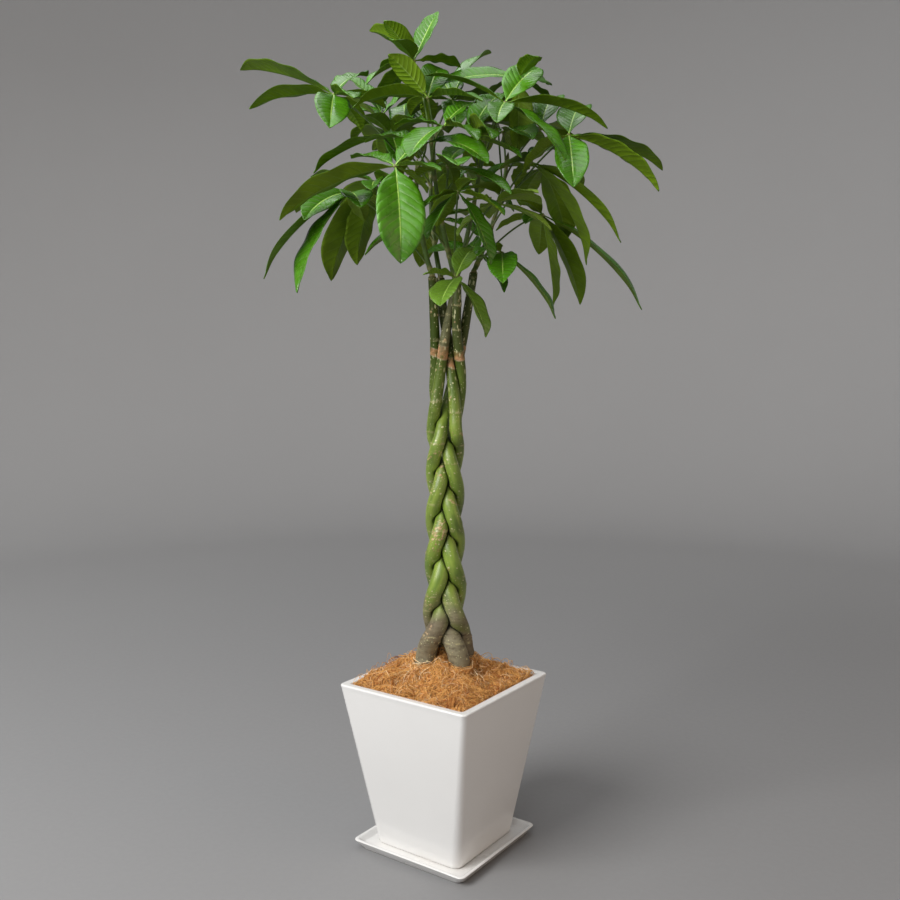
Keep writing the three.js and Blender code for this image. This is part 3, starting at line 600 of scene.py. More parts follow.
class Nodes:
    """Short ways to place and link the nodes of a material or a node group."""

    def __init__(self, tree):
        self.tree = tree

    def add(self, kind, settings=None, **inputs):
        """Places a node with its settings and inputs."""
        made = self.tree.nodes.new(kind)
        for key, value in (settings or {}).items():
            setattr(made, key, value)
        self.fill(made, **inputs)
        return made

    def fill(self, node, **inputs):
        """Feeds a node's inputs, with _ in their names for each space."""
        for key, value in inputs.items():
            self.feed(node.inputs[key.replace("_", " ")], value)

    def feed(self, socket, value):
        """Links a socket to another one, or gives it a plain value."""
        if isinstance(value, bpy.types.NodeSocket):
            self.tree.links.new(value, socket)
        else:
            socket.default_value = value

    def math(self, operation, a, b=0.0, clamp=False):
        """An operation on two numbers."""
        made = self.add("ShaderNodeMath", {"operation": operation, "use_clamp": clamp})
        self.feed(made.inputs[0], a)
        self.feed(made.inputs[1], b)
        return made.outputs[0]

    def times(self, a, b):
        """One number times another."""
        return self.math("MULTIPLY", a, b)

    def plus(self, a, b):
        """The sum of two numbers."""
        return self.math("ADD", a, b)

    def most(self, a, b):
        """The larger of two numbers."""
        return self.math("MAXIMUM", a, b)

    def rise(self, value, low, high, start=0.0, end=1.0):
        """From start to end in an even curve, as a value goes from low to high."""
        made = self.add("ShaderNodeMapRange", {"interpolation_type": "SMOOTHSTEP"}, Value=value)
        for key, number in {"From Min": low, "From Max": high, "To Min": start, "To Max": end}.items():
            self.feed(made.inputs[key], number)
        return made.outputs["Result"]

    def mix(self, factor, a, b):
        """A mix of two colours, which the node takes at its inputs 6 and 7."""
        made = self.add("ShaderNodeMix", {"data_type": "RGBA"})
        self.feed(made.inputs[0], factor)
        self.feed(made.inputs[6], a)
        self.feed(made.inputs[7], b)
        return made.outputs[2]

    def blend(self, factor, a, b):
        """A mix of two numbers, which the node takes at its inputs 2 and 3."""
        made = self.add("ShaderNodeMix", {"data_type": "FLOAT"})
        self.feed(made.inputs[0], factor)
        self.feed(made.inputs[2], a)
        self.feed(made.inputs[3], b)
        return made.outputs[0]

    def value(self, name, output="Fac"):
        """A value that the mesh keeps on its points."""
        return self.add("ShaderNodeAttribute", {"attribute_name": name}).outputs[output]

    def place(self):
        """The place of a point in the object's own axes, in metres."""
        return self.add("ShaderNodeTexCoord").outputs["Object"]

    def stretched(self, vector, scale):
        """Places scaled along each axis. A scale below 1 draws a pattern out."""
        return self.add("ShaderNodeMapping", Vector=vector, Scale=scale).outputs["Vector"]

    def noise(self, vector, scale, detail=3.0, roughness=0.5):
        """Cloudy noise, mostly between 0.3 and 0.7."""
        given = {"Vector": vector, "Scale": scale, "Detail": detail, "Roughness": roughness}
        return self.add("ShaderNodeTexNoise", **given).outputs["Fac"]

    def group(self, tree, **inputs):
        """The outputs of a node group that gets these inputs."""
        return self.add("ShaderNodeGroup", {"node_tree": tree}, **inputs).outputs

    def mottle(self, place, scale, grain):
        """Clouds of about 1 / scale, and a Grain that many times finer."""
        tree = once(bpy.data.node_groups, "Mottle", mottle_group)
        return self.group(tree, Place=place, Scale=scale, Grain=grain)

    def specks(self, place, scale, radius, share):
        """A mask of specks that lie about 1 / scale apart."""
        tree = once(bpy.data.node_groups, "Specks", speck_group)
        return self.group(tree, Place=place, Scale=scale, Radius=radius, Share=share)["Mask"]

    def bump(self, height, strength, distance):
        """The normal of a surface that is raised by a height."""
        made = self.add("ShaderNodeBump", Height=height, Strength=strength, Distance=distance)
        return made.outputs["Normal"]


def new_group(name, numbers, outputs):
    """A shader node group that takes a place and named numbers, and puts out named masks."""
    tree = bpy.data.node_groups.new(name, "ShaderNodeTree")
    tree.interface.new_socket("Place", in_out="INPUT", socket_type="NodeSocketVector")
    for socket, default in numbers.items():
        made = tree.interface.new_socket(socket, in_out="INPUT", socket_type="NodeSocketFloat")
        made.default_value = default
    for socket in outputs:
        tree.interface.new_socket(socket, in_out="OUTPUT", socket_type="NodeSocketFloat")
    nodes = Nodes(tree)
    return tree, nodes, nodes.add("NodeGroupInput").outputs, nodes.add("NodeGroupOutput")


def mottle_group(name):
    """Broad cloudy patches and a finer grain over them, both from 0 to 1."""
    numbers = {"Scale": 20.0, "Grain": 8.0}
    tree, nodes, given, result = new_group(name, numbers, ["Clouds", "Grain"])
    broad = nodes.noise(given["Place"], given["Scale"], detail=4.0, roughness=0.55)
    fine = nodes.noise(given["Place"], nodes.times(given["Scale"], given["Grain"]), roughness=0.6)
    nodes.fill(result, Clouds=nodes.rise(broad, 0.3, 0.7), Grain=nodes.rise(fine, 0.3, 0.7))
    return tree


def speck_group(name):
    """Scattered round specks of uneven size, as a mask. Share says how many places have one."""
    numbers = {"Scale": 100.0, "Radius": 0.2, "Share": 0.5}
    tree, nodes, given, result = new_group(name, numbers, ["Mask"])
    cells = nodes.add("ShaderNodeTexVoronoi", Vector=given["Place"], Scale=given["Scale"])
    lots = nodes.add("ShaderNodeSeparateColor", Color=cells.outputs["Color"]).outputs
    radius = nodes.times(given["Radius"], nodes.plus(0.5, lots["Green"]))
    dot = nodes.rise(cells.outputs["Distance"], nodes.times(radius, 0.6), radius, 1.0, 0.0)
    kept = nodes.math("LESS_THAN", lots["Red"], given["Share"])
    nodes.fill(result, Mask=nodes.times(dot, kept))
    return tree


def new_material(name):
    """A material with nothing but its shader and output, ready to be fed."""
    material = bpy.data.materials.new(name)
    material.use_nodes = True
    nodes = Nodes(material.node_tree)
    material.node_tree.nodes.clear()
    shader = nodes.add("ShaderNodeBsdfPrincipled")
    nodes.add("ShaderNodeOutputMaterial", Surface=shader.outputs["BSDF"])
    return material, nodes, shader


def once(kept, name, make):
    """What Blender keeps under a name, made by the given function the first time."""
    return kept.get(name) or make(name)


def shade(color, factor=1.0):
    """A colour made lighter or darker, with its alpha kept at 1."""
    return (*[min(1.0, channel * factor) for channel in color[:3]], 1.0)


def glaze_material(name):
    """Glossy white glaze: the faintest clouds, a few iron specks, a little dust near the floor."""
    looks = bpy.context.scene.money_tree_pot
    material, nodes, shader = new_material(name)
    place = nodes.place()
    mottle = nodes.mottle(place, scale=7.0, grain=22.0)
    specks = nodes.specks(place, scale=90.0, radius=0.05, share=0.03)
    height = nodes.add("ShaderNodeSeparateXYZ", Vector=place).outputs["Z"]
    low_down = nodes.rise(height, 0.0, DUST_HEIGHT * MM, 0.3, 0.0)
    dust = nodes.times(low_down, mottle["Clouds"])
    white = nodes.mix(mottle["Clouds"], shade(looks.glaze, 0.985), shade(looks.glaze))
    dusty = nodes.mix(dust, white, DUST)
    waves = nodes.noise(place, 9.0, detail=1.0, roughness=0.3)
    nodes.fill(
        shader,
        Base_Color=nodes.mix(nodes.times(specks, 0.35), dusty, IRON_SPECK),
        Roughness=nodes.plus(nodes.times(dust, 0.3), looks.roughness),
        Coat_Weight=looks.coat,
        Coat_Roughness=0.08,
        Normal=nodes.bump(waves, strength=0.12, distance=0.004),
    )
    return material


def soil_material(name):
    """Dark crumbly potting mix with pale grit."""
    material, nodes, shader = new_material(name)
    place = nodes.place()
    mottle = nodes.mottle(place, scale=60.0, grain=7.0)
    grit = nodes.specks(place, scale=160.0, radius=0.3, share=0.12)
    crumbs = nodes.times(mottle["Grain"], 0.5)
    dark = nodes.mix(mottle["Clouds"], SOIL_DARK, SOIL_BROWN)
    crumbly = nodes.mix(crumbs, dark, SOIL_CRUMB)
    nodes.fill(
        shader,
        Base_Color=nodes.mix(grit, crumbly, GRIT),
        Roughness=0.95,
        Normal=nodes.bump(nodes.plus(mottle["Clouds"], crumbs), strength=1.0, distance=0.003),
    )
    return material


def fibre_material(name):
    """Coconut fibre: each strand has its own tone between orange and brown, with a fine grain. Scattered
    pale strands are also painted glints, and where deep is set the colour is painted darker as shade.
    """
    looks = bpy.context.scene.money_tree_fibre
    material, nodes, shader = new_material(name)
    mottle = nodes.mottle(nodes.place(), scale=26.0, grain=30.0)
    clumps = nodes.blend(mottle["Clouds"], -0.15, 0.1)
    tone = nodes.math("ADD", nodes.value("tone"), clumps, clamp=True)
    warm = nodes.mix(tone, shade(looks.dark), shade(looks.light))
    grain = nodes.mix(nodes.times(mottle["Grain"], 0.35), warm, shade(looks.dark, 0.7))
    # pale for the dry fibres and for the scattered pale strands, which are also painted glints
    pale = nodes.mix(nodes.value("dry"), grain, shade(looks.dry))
    nodes.fill(
        shader,
        # painted shade: where deep is set, as on the matted body, the colour darkens as in the shade between
        # strands
        Base_Color=nodes.mix(nodes.value("deep"), pale, shade(looks.dark, 0.25)),
        Roughness=nodes.blend(mottle["Grain"], 0.62, 0.85),
        Normal=nodes.bump(mottle["Grain"], strength=0.4, distance=0.0006),
    )
    return material


def bark_marks(nodes, strand, shaded, grain):
    """Masks of what marks the bark: specks, long flecks in the shade, scabs, ring scars, the band."""
    large = nodes.specks(strand, scale=95.0, radius=0.19, share=0.55)
    small = nodes.specks(strand, scale=210.0, radius=0.24, share=0.42)
    long = nodes.stretched(strand, (1.0, 1.0, 0.4))
    flecks = nodes.specks(long, scale=170.0, radius=0.32, share=0.5)
    crumbs = nodes.specks(strand, scale=180.0, radius=0.5, share=0.8)
    patch = nodes.rise(nodes.noise(strand, 13.0, roughness=0.6), 0.57, 0.66)
    worn_off = nodes.rise(nodes.noise(strand, 55.0, roughness=0.6), 0.35, 0.62, 1.0, 0.25)
    return {
        "dots": nodes.most(large, nodes.times(small, 0.7)),
        "flecks": nodes.times(flecks, shaded),
        "scab": nodes.times(crumbs, nodes.most(patch, nodes.value("scab"))),
        "ring": nodes.times(nodes.value("ring"), nodes.rise(grain, 0.3, 0.7)),
        "band": nodes.times(nodes.rise(nodes.value("band"), 0.1, 0.9), worn_off),
    }


def bark_material(name):
    """Green bark with bright streaks, darker in the shade of the crown and grey-brown near the soil."""
    looks = bpy.context.scene.money_tree_trunk
    material, nodes, shader = new_material(name)
    strand = nodes.value("strand", "Vector")
    shaded = nodes.value("shade")
    old = nodes.value("old")
    mottle = nodes.mottle(strand, scale=15.0, grain=8.0)
    streaks = nodes.mottle(nodes.stretched(strand, (1.0, 1.0, 0.22)), scale=70.0, grain=3.0)
    lines = nodes.mottle(nodes.stretched(strand, (0.25, 0.25, 1.0)), scale=150.0, grain=3.0)
    marks = bark_marks(nodes, strand, shaded, mottle["Grain"])
    cracks = nodes.times(lines["Clouds"], mottle["Grain"])

    green = nodes.mix(mottle["Clouds"], shade(looks.green, 0.5), shade(looks.green, 1.2))
    lively = nodes.mix(nodes.times(streaks["Clouds"], 0.55), green, shade(looks.fresh))
    fresh = nodes.mix(shaded, lively, shade(looks.green, 0.3))
    grey = nodes.mix(mottle["Clouds"], shade(looks.brown, 0.6), BARK_GREY)
    worn = nodes.mix(cracks, grey, shade(looks.brown, 0.4))
    body = nodes.mix(old, fresh, worn)

    tan = nodes.mix(mottle["Grain"], CORK_BROWN, CORK_TAN)
    rusty = nodes.mix(mottle["Grain"], shade(looks.band, 0.6), shade(looks.band, 1.1))
    band_edge = nodes.rise(nodes.value("band"), 0.45, 0.95, 0.75, 0.0)
    band = nodes.mix(band_edge, rusty, BAND_EDGE)
    ringed = nodes.mix(nodes.times(marks["ring"], 0.75), body, RING_SCAR)
    scabby = nodes.mix(nodes.times(marks["scab"], 0.85), ringed, tan)
    banded = nodes.mix(nodes.times(marks["band"], 0.85), scabby, band)
    spots = nodes.times(nodes.most(marks["dots"], marks["flecks"]), 0.75)
    # painted shade: the bark turns near black in the creases between the stems
    crease_shaded = nodes.mix(nodes.value("crease"), nodes.mix(spots, banded, BARK_SPECK), CREASE_SHADE)

    lumps = nodes.plus(nodes.times(marks["dots"], 0.6), nodes.times(marks["scab"], 0.9))
    sunk = nodes.times(cracks, nodes.times(old, -0.9))
    grooves = nodes.plus(sunk, nodes.times(streaks["Grain"], 0.2))
    nodes.fill(
        shader,
        Base_Color=nodes.mix(nodes.value("cork"), crease_shaded, tan),
        Roughness=nodes.blend(nodes.most(old, marks["scab"]), 0.42, 0.78),
        Specular_IOR_Level=nodes.blend(shaded, 0.5, 0.2),
        Coat_Weight=nodes.blend(nodes.most(old, shaded), 0.18, 0.0),
        Coat_Roughness=0.3,
        Normal=nodes.bump(nodes.plus(lumps, grooves), strength=0.6, distance=0.001),
    )
    return material


def shoot_material(name):
    """Young green bark of shoots and leaf stalks, paler and yellower towards joints."""
    looks = bpy.context.scene.money_tree_leaf
    material, nodes, shader = new_material(name)
    place = nodes.place()
    mottle = nodes.mottle(nodes.stretched(place, (1.0, 1.0, 0.3)), scale=90.0, grain=6.0)
    specks = nodes.specks(place, scale=240.0, radius=0.16, share=0.35)
    green = nodes.mix(mottle["Clouds"], shade(looks.stalk, 0.75), shade(looks.stalk, 1.15))
    jointed = nodes.mix(nodes.value("joint"), green, STALK_JOINT)
    nodes.fill(
        shader,
        Base_Color=nodes.mix(nodes.times(specks, 0.4), jointed, STALK_SPECK),
        Roughness=nodes.blend(mottle["Grain"], 0.38, 0.52),
        Normal=nodes.bump(mottle["Grain"], strength=0.3, distance=0.0005),
    )
    return material


def leaf_material(name):
    """Waxy leaf blade: deep green above with pale veins between raised panels, each panel painted lighter in
    its middle as a sheen, matte olive below.
    """
    looks = bpy.context.scene.money_tree_leaf
    material, nodes, shader = new_material(name)
    mottle = nodes.mottle(nodes.place(), scale=24.0, grain=14.0)
    under = nodes.value("under")
    young = nodes.value("young")
    uneven = nodes.plus(nodes.value("vein"), nodes.blend(mottle["Clouds"], 0.0, 0.22))
    off_vein = nodes.math("ABSOLUTE", nodes.math("SUBTRACT", nodes.math("FRACT", uneven), 0.5))
    fading = nodes.rise(nodes.value("aside"), 0.35, 0.95, 1.0, 0.0)
    side_vein = nodes.times(nodes.rise(off_vein, 0.42, 0.49), fading)
    # mask of the middle of each panel, where a sheen is painted
    panel = nodes.rise(off_vein, 0.05, 0.45, 1.0, 0.0)
    rib = nodes.rise(nodes.value("rib"), 0.5, 1.5, 1.0, 0.0)

    deep = nodes.mix(mottle["Clouds"], shade(looks.deep, 0.55), shade(looks.deep, 1.2))
    toned = nodes.mix(nodes.value("tint"), deep, shade(looks.deep, 0.62))
    # painted sheen: the middle of each raised panel is painted a lighter green
    light = nodes.mix(nodes.times(panel, 0.15), toned, shade(looks.deep, 1.6))
    fresh = nodes.mix(young, light, shade(looks.fresh))
    veined = nodes.mix(nodes.times(side_vein, 0.22), fresh, shade(looks.vein))
    top = nodes.mix(nodes.times(rib, 0.9), veined, shade(looks.vein, 1.5))

    matte = nodes.mix(mottle["Clouds"], shade(looks.under, 0.8), shade(looks.under, 1.2))
    pale = nodes.mix(nodes.times(young, 0.5), matte, shade(looks.fresh))
    vein_below = nodes.most(nodes.times(side_vein, 0.4), rib)
    bottom = nodes.mix(nodes.times(vein_below, 0.6), pale, shade(looks.vein, 0.9))

    patchy = nodes.blend(mottle["Clouds"], looks.roughness, looks.roughness + 0.2)
    cushion = nodes.times(nodes.times(off_vein, off_vein), nodes.blend(under, -4.0, 4.0))
    swell = nodes.times(cushion, nodes.blend(mottle["Clouds"], 0.1, 1.4))
    height = nodes.plus(swell, nodes.times(mottle["Grain"], 0.05))
    nodes.fill(
        shader,
        Base_Color=nodes.mix(under, top, bottom),
        Roughness=nodes.blend(under, patchy, 0.62),
        Specular_IOR_Level=nodes.blend(under, 0.5, 0.25),
        Coat_Weight=nodes.blend(under, looks.wax, 0.0),
        Coat_Roughness=0.3,
        Normal=nodes.bump(height, strength=0.85, distance=0.0009),
    )
    return material


def floor_material(name):
    """Plain seamless grey of floor and wall, with the faintest mottling."""
    looks = bpy.context.scene.money_tree_stage
    material, nodes, shader = new_material(name)
    place = nodes.place()
    mottle = nodes.mottle(place, scale=1.2, grain=60.0)
    away = nodes.add("ShaderNodeVectorMath", {"operation": "LENGTH"}, Vector=place).outputs["Value"]
    grey = nodes.mix(nodes.rise(away, 0.7, 5.2), shade(looks.floor), shade(looks.wall))
    nodes.fill(
        shader,
        Base_Color=nodes.mix(nodes.times(mottle["Clouds"], 0.02), grey, FLOOR_MOTTLE),
        Roughness=nodes.blend(mottle["Grain"], 0.75, 0.85),
    )
    return material


def pot_half(z):
    """Half the pot's outer width at a height."""
    return POT_BASE_HALF + (POT_TOP_HALF - POT_BASE_HALF) * (z - POT_BASE_Z) / (POT_TOP_Z - POT_BASE_Z)


def inside_half(z):
    """Half the width inside the pot's walls, less a gap."""
    return pot_half(z) - POT_WALL - GAP


def loft(stations, looped=False):
    """A skin through square rings, each given by its half width, corner radius and height."""
    return skin([square_ring(half, min(corner, half), z) for half, corner, z in stations], looped)


def saucer_surface():
    """The saucer from under its foot, up its flared wall, over the lip and down to the bed."""
    slope = (SAUCER_HALF - SAUCER_FOOT_HALF) / SAUCER_HEIGHT
    lip = SAUCER_FOOT_HALF + slope * SAUCER_HEIGHT - SAUCER_WALL
    bed = SAUCER_FOOT_HALF + slope * SAUCER_FLOOR - SAUCER_WALL
    foot_rim = SAUCER_FOOT_HALF - 7
    stations = [
        (foot_rim - 3, 9, 1.2),
        (foot_rim - 1.5, 10, 0.2),
        (foot_rim, 11, 0),
        (SAUCER_FOOT_HALF - 2.5, 14, 0),
        (SAUCER_FOOT_HALF - 1.2, 14.5, 0.35),
        (SAUCER_FOOT_HALF - 0.1, 15, 1.2),
        (SAUCER_FOOT_HALF + 0.7, 15, 2.6),
        (SAUCER_FOOT_HALF + slope * 6, 14.5, 6),
        (SAUCER_HALF - 2.6, 12.5, SAUCER_HEIGHT - 5),
        (SAUCER_HALF - 1.2, 12, SAUCER_HEIGHT - 3),
        (SAUCER_HALF - 0.3, 12, SAUCER_HEIGHT - 2),
        (SAUCER_HALF, 12, SAUCER_HEIGHT - 1.3),
        (SAUCER_HALF - 0.3, 12, SAUCER_HEIGHT - 0.5),
        (SAUCER_HALF - 1.2, 12, SAUCER_HEIGHT),
        (lip + 1.6, 11, SAUCER_HEIGHT),
        (lip + 0.7, 10, SAUCER_HEIGHT - 0.5),
        (lip, 10, SAUCER_HEIGHT - 1.5),
        (bed + 0.6, 10, SAUCER_FLOOR + 3.5),
        (bed - 0.6, 10, SAUCER_FLOOR + 1.5),
        (bed - 2.2, 9.5, SAUCER_FLOOR + 0.4),
        (bed - 4.5, 9, SAUCER_FLOOR),
        (bed - 9, 9, SAUCER_FLOOR),
        (bed * 0.4, 9, SAUCER_FLOOR),
    ]
    return loft(stations)


def pot_surface():
    """The pot from under its base, up the outside, over the rim and down to the drain hole."""
    floor = POT_BASE_Z + POT_FLOOR
    top = POT_TOP_HALF
    inner = top - POT_WALL
    stations = [
        (POT_BASE_HALF - 8, POT_BASE_CORNER - 5, POT_BASE_Z),
        (POT_BASE_HALF - 4, POT_BASE_CORNER - 3, POT_BASE_Z),
        (POT_BASE_HALF - 1.8, POT_BASE_CORNER - 1, POT_BASE_Z + 0.5),
        (POT_BASE_HALF - 0.5, POT_BASE_CORNER, POT_BASE_Z + 1.8),
        (pot_half(POT_BASE_Z + 4), POT_BASE_CORNER, POT_BASE_Z + 4),
        (pot_half(POT_BASE_Z + 8), POT_BASE_CORNER, POT_BASE_Z + 8),
        (pot_half(POT_BASE_Z + 170), (POT_BASE_CORNER + POT_TOP_CORNER) / 2, POT_BASE_Z + 170),
        (pot_half(POT_TOP_Z - 14), POT_TOP_CORNER, POT_TOP_Z - 14),
        (pot_half(POT_TOP_Z - 6) - 0.1, POT_TOP_CORNER, POT_TOP_Z - 6),
        (top - 0.3, POT_TOP_CORNER, POT_TOP_Z - 3.6),
        (top - 0.2, POT_TOP_CORNER, POT_TOP_Z - 2.3),
        (top - 0.8, POT_TOP_CORNER, POT_TOP_Z - 1.1),
        (top - 1.8, POT_TOP_CORNER - 0.5, POT_TOP_Z - 0.3),
        (top - 3.2, POT_TOP_CORNER - 1, POT_TOP_Z),
        (top - 6, POT_TOP_CORNER - 2, POT_TOP_Z),
        (inner + 4.5, 8, POT_TOP_Z),
        (inner + 2.2, 7, POT_TOP_Z - 0.2),
        (inner + 0.8, 6.5, POT_TOP_Z - 0.9),
        (inner, 6, POT_TOP_Z - 2.2),
        (pot_half(POT_TOP_Z - 7) - POT_WALL, 6, POT_TOP_Z - 7),
        (pot_half(floor + 8) - POT_WALL, 6, floor + 8),
        (pot_half(floor + 3) - POT_WALL - 1, 6, floor + 3),
        (pot_half(floor) - POT_WALL - 4, 5.5, floor + 0.5),
        (pot_half(floor) - POT_WALL - 8, 5, floor),
        (DRAIN_RADIUS + 3, DRAIN_RADIUS + 3, floor),
        (DRAIN_RADIUS, DRAIN_RADIUS, floor - 2),
        (DRAIN_RADIUS, DRAIN_RADIUS, POT_BASE_Z + 1.5),
        (DRAIN_RADIUS + 2, DRAIN_RADIUS + 2, POT_BASE_Z),
    ]
    return loft(stations, looped=True)


def mat_height(x, y):
    """Height of the fibre mat: a clumpy mound, heaped up at the trunk and along the far walls."""
    half = inside_half(MULCH_EDGE_Z) - 1
    share = np.clip(np.maximum(np.abs(x), np.abs(y)) / half, 0, 1)
    mound = MULCH_EDGE_Z + MULCH_MOUND * (1 - share) ** 1.1
    places = np.stack([x, y, np.zeros_like(x)], axis=-1)
    lumps = 7.0 * clouds(places, size=42, seed=1) + 5.0 * clouds(places, size=17, seed=2)
    across, depth, _ = np.moveaxis(turned(places, -TREE_TURN), -1, 0)
    heaped = 0
    for rise, middle, back, wide, deep in MULCH_HEAPS:
        heaped += rise * np.exp(-(((across - middle) / wide) ** 2) - ((depth - back) / deep) ** 2)
    rise, radius, wide = MULCH_COLLAR
    collar = rise * np.exp(-(((np.hypot(across, depth) - radius) / wide) ** 2))
    far = MULCH_FAR_RISE * smooth((y - x) / (2 * half), -0.1, 0.5) * smooth(share, 0.5, 1)
    near = MULCH_NEAR_DROP * smooth((x - y) / (2 * half), 0.7, 1.0)
    return mound + lumps + heaped + collar + far - near


def mat_surface():
    """The matted body of the fibre under the loose strands."""
    bottom = SOIL_TOP_Z + GAP
    half = inside_half(MULCH_EDGE_Z) - 1
    counts = {"corner_points": 5, "side_points": MULCH_SIDE_POINTS}
    rings = [
        square_ring(inside_half(bottom), MULCH_CORNER, bottom, **counts),
        square_ring(half - 2, MULCH_CORNER, MULCH_EDGE_Z - 12, **counts),
    ]
    for share in np.linspace(1.0, 0.04, MULCH_RINGS):
        corner = min(MULCH_CORNER + 12 * (1 - share), half * share * 0.98)
        ring = square_ring(half * share * 0.985, corner, 0, **counts)
        ring[:, 2] = mat_height(ring[:, 0], ring[:, 1]) - MULCH_SINK
        rings.append(ring)
    return skin(rings)


def clear_of_stems(paths, room):
    """Moves points that lie in a stem out of it, level by level."""
    radius = read_off(STEM_RADII, paths[..., 2:3]) + room
    for stem in list(range(STEM_COUNT)) * 3:
        centre = stem_centres(stem, paths[..., 2])
        upright = np.concatenate([centre, np.zeros_like(centre[..., :1])], axis=-1)
        way = paths[..., :2] - turned(upright, TREE_TURN)[..., :2]
        distance = np.linalg.norm(way, axis=-1, keepdims=True)
        paths[..., :2] += np.maximum(radius - distance, 0) * way / np.maximum(distance, 1e-6)
    return paths


def wander(rng, count, length, steps, heading, curl):
    """Level paths that start at the origin and turn smoothly at random, as offsets from their start."""
    t = np.linspace(0, 1, steps)
    bend = rng.normal(0, curl, (count, 1)) * t
    sway = rng.normal(0, curl * 0.6, (count, 1))
    sway = sway * np.sin(FULL_TURN * t + rng.uniform(0, ANY_ANGLE, (count, 1)))
    angle = heading[:, None] + bend + sway
    stride = (length / (steps - 1))[:, None]
    dx = np.cumsum(np.cos(angle) * stride, axis=1)
    dy = np.cumsum(np.sin(angle) * stride, axis=1)
    return np.stack([dx, dy], axis=-1)


def fibre_paths(rng, count, steps):
    """Strands over the whole mat: most in curling locks that arch off it, the others on their own."""
    half = inside_half(MULCH_EDGE_Z) - 2
    locks = count // LOCK_STRANDS
    lock = rng.integers(0, locks, count)
    length, heading = rng.uniform(*LOCK_LENGTHS, locks), rng.uniform(0, ANY_ANGLE, locks)
    shared = wander(rng, locks, length, steps, heading, curl=2.2)[lock]
    length, heading = rng.uniform(*OWN_LENGTHS, count), rng.uniform(0, ANY_ANGLE, count)
    own = wander(rng, count, length, steps, heading, curl=1.9)
    stray = (rng.random(count) < STRAY_SHARE)[:, None]
    alone = rng.uniform(-half, half, (count, 2))
    together = rng.uniform(-half, half, (locks, 2))[lock]
    start = np.where(stray, alone, together) + rng.normal(0, 5, (count, 2))
    way = np.where(stray[..., None], own * STRAY_STRETCH, shared + own)
    level = start[:, None, :] + way - way[:, steps // 2 : steps // 2 + 1, :]
    level = np.clip(level, -half, half)
    t = np.linspace(0, 1, steps)
    lift = np.where(stray, rng.gamma(1.5, 3.0, (count, 1)), rng.gamma(1.6, 3.6, (locks, 1))[lock])
    arch = lift * rng.uniform(0.5, 1.2, (count, 1)) * np.sin(math.pi * t) ** 0.8
    waves = FULL_TURN * rng.uniform(1, 2.4, (count, 1))
    wobble = 1.6 * np.sin(waves * t + rng.uniform(0, ANY_ANGLE, (count, 1)))
    base = mat_height(level[..., 0], level[..., 1]) + rng.uniform(-3, 4, (count, 1))
    height = base + arch + wobble - 2.5 * (np.abs(2 * t - 1) ** 4)
    paths = np.concatenate([level, height[..., None]], axis=-1)
    return clear_of_stems(paths, rng.uniform(0.9, 9, (count, 1, 1)))


def rim_paths(rng, count, steps):
    """Tousled wisps that stand up along the pot's walls, most of them on the far sides."""
    side = rng.choice(4, count, p=RIM_SHARES)
    length, heading = rng.uniform(*RIM_LENGTHS, count), rng.normal(0, 1.8, count)
    way = wander(rng, count, length, steps, heading, curl=2.4)
    t = np.linspace(0, 1, steps)
    x = np.clip(rng.uniform(100, 128, (count, 1)) + way[..., 0], 60, 133)
    y = np.clip(rng.uniform(-122, 122, (count, 1)) + way[..., 1], -131, 131)
    level = np.stack([x, y, np.zeros_like(x)], axis=-1)
    points = np.stack([turned(p, s * QUARTER_TURN) for p, s in zip(level, side)])
    tall = 0.6 + 0.4 * clouds(points[:, 0], size=60, seed=7)[:, None]
    tall = tall * rng.gamma(2.6, 5.0, (count, 1))
    rise = tall * np.sin(math.pi * np.minimum(t * 1.15, 1)) ** 0.7
    points[..., 2] = mat_height(points[..., 0], points[..., 1]) + rise + 3 * t
    return points


def dry_paths(rng, count, steps):
    """Pale dry fibres that cling to the foot of the trunk."""
    angle = rng.uniform(0, FULL_TURN, count)
    reach = rng.uniform(*DRY_REACH, count)
    start = np.stack([np.cos(angle) * reach * 1.1, np.sin(angle) * reach * 0.8], axis=-1)
    length, heading = rng.uniform(*DRY_LENGTHS, count), angle + rng.normal(1.57, 0.8, count)
    way = wander(rng, count, length, steps, heading, curl=1.6)
    level = start[:, None, :] + way
    t = np.linspace(0, 1, steps)
    paths = turned(np.concatenate([level, np.zeros_like(level[..., :1])], axis=-1), TREE_TURN)
    rise = rng.uniform(3, 16, (count, 1)) * np.sin(math.pi * t)
    paths[..., 2] = mat_height(paths[..., 0], paths[..., 1]) + rise + 2
    return clear_of_stems(paths, rng.uniform(1, 8, (count, 1, 1)))


def loose_place(stem, z):
    """A loose stem's place at each height, with its bends eased."""
    path = np.array(STEMS[stem]["loose"], dtype=float)
    shifts = [(-BEND_EASE, 0.25), (0, 0.5), (BEND_EASE, 0.25)]
    place = 0
    for shift, part in shifts:
        eased = [np.interp(z + shift, path[:, 2], path[:, axis]) for axis in (0, 1)]
        place = place + part * np.stack(eased, axis=-1)
    return place


def stem_centres(stem, z):
    """Centre line of a stem: upright in the soil, then in the plait, then on its own way."""
    z = np.asarray(z, dtype=float)
    plait_z = np.maximum(z, STRAIGHT_TO_Z)
    turn = PLAIT_PHASE + FULL_TURN * PLAIT_ORDER[stem] / STEM_COUNT
    t = turn + FULL_TURN * (plait_z - PLAIT_PHASE_Z) / PLAIT_PERIOD
    swing = (np.cos(t) + PLAIT_THIRD * np.cos(3 * t)) / (1 + PLAIT_THIRD)
    across = read_off(PLAIT_HALF_WIDTHS, plait_z) * swing
    plait = np.stack([across, -PLAIT_DEPTH * np.sin(2 * t)], axis=-1)
    loose = smooth(z, PLAIT_TOP_Z, LOOSE_FROM_Z)[..., None]
    above = plait * (1 - loose) + loose_place(stem, z) * loose
    share = np.clip((plait_z - STRAIGHT_TO_Z) / (PLAIT_FROM_Z - STRAIGHT_TO_Z), 0, 1)
    risen = (share * (3 - share**2) / 2)[..., None]
    return np.array(STEMS[stem]["root"]) * (1 - risen) + above * risen


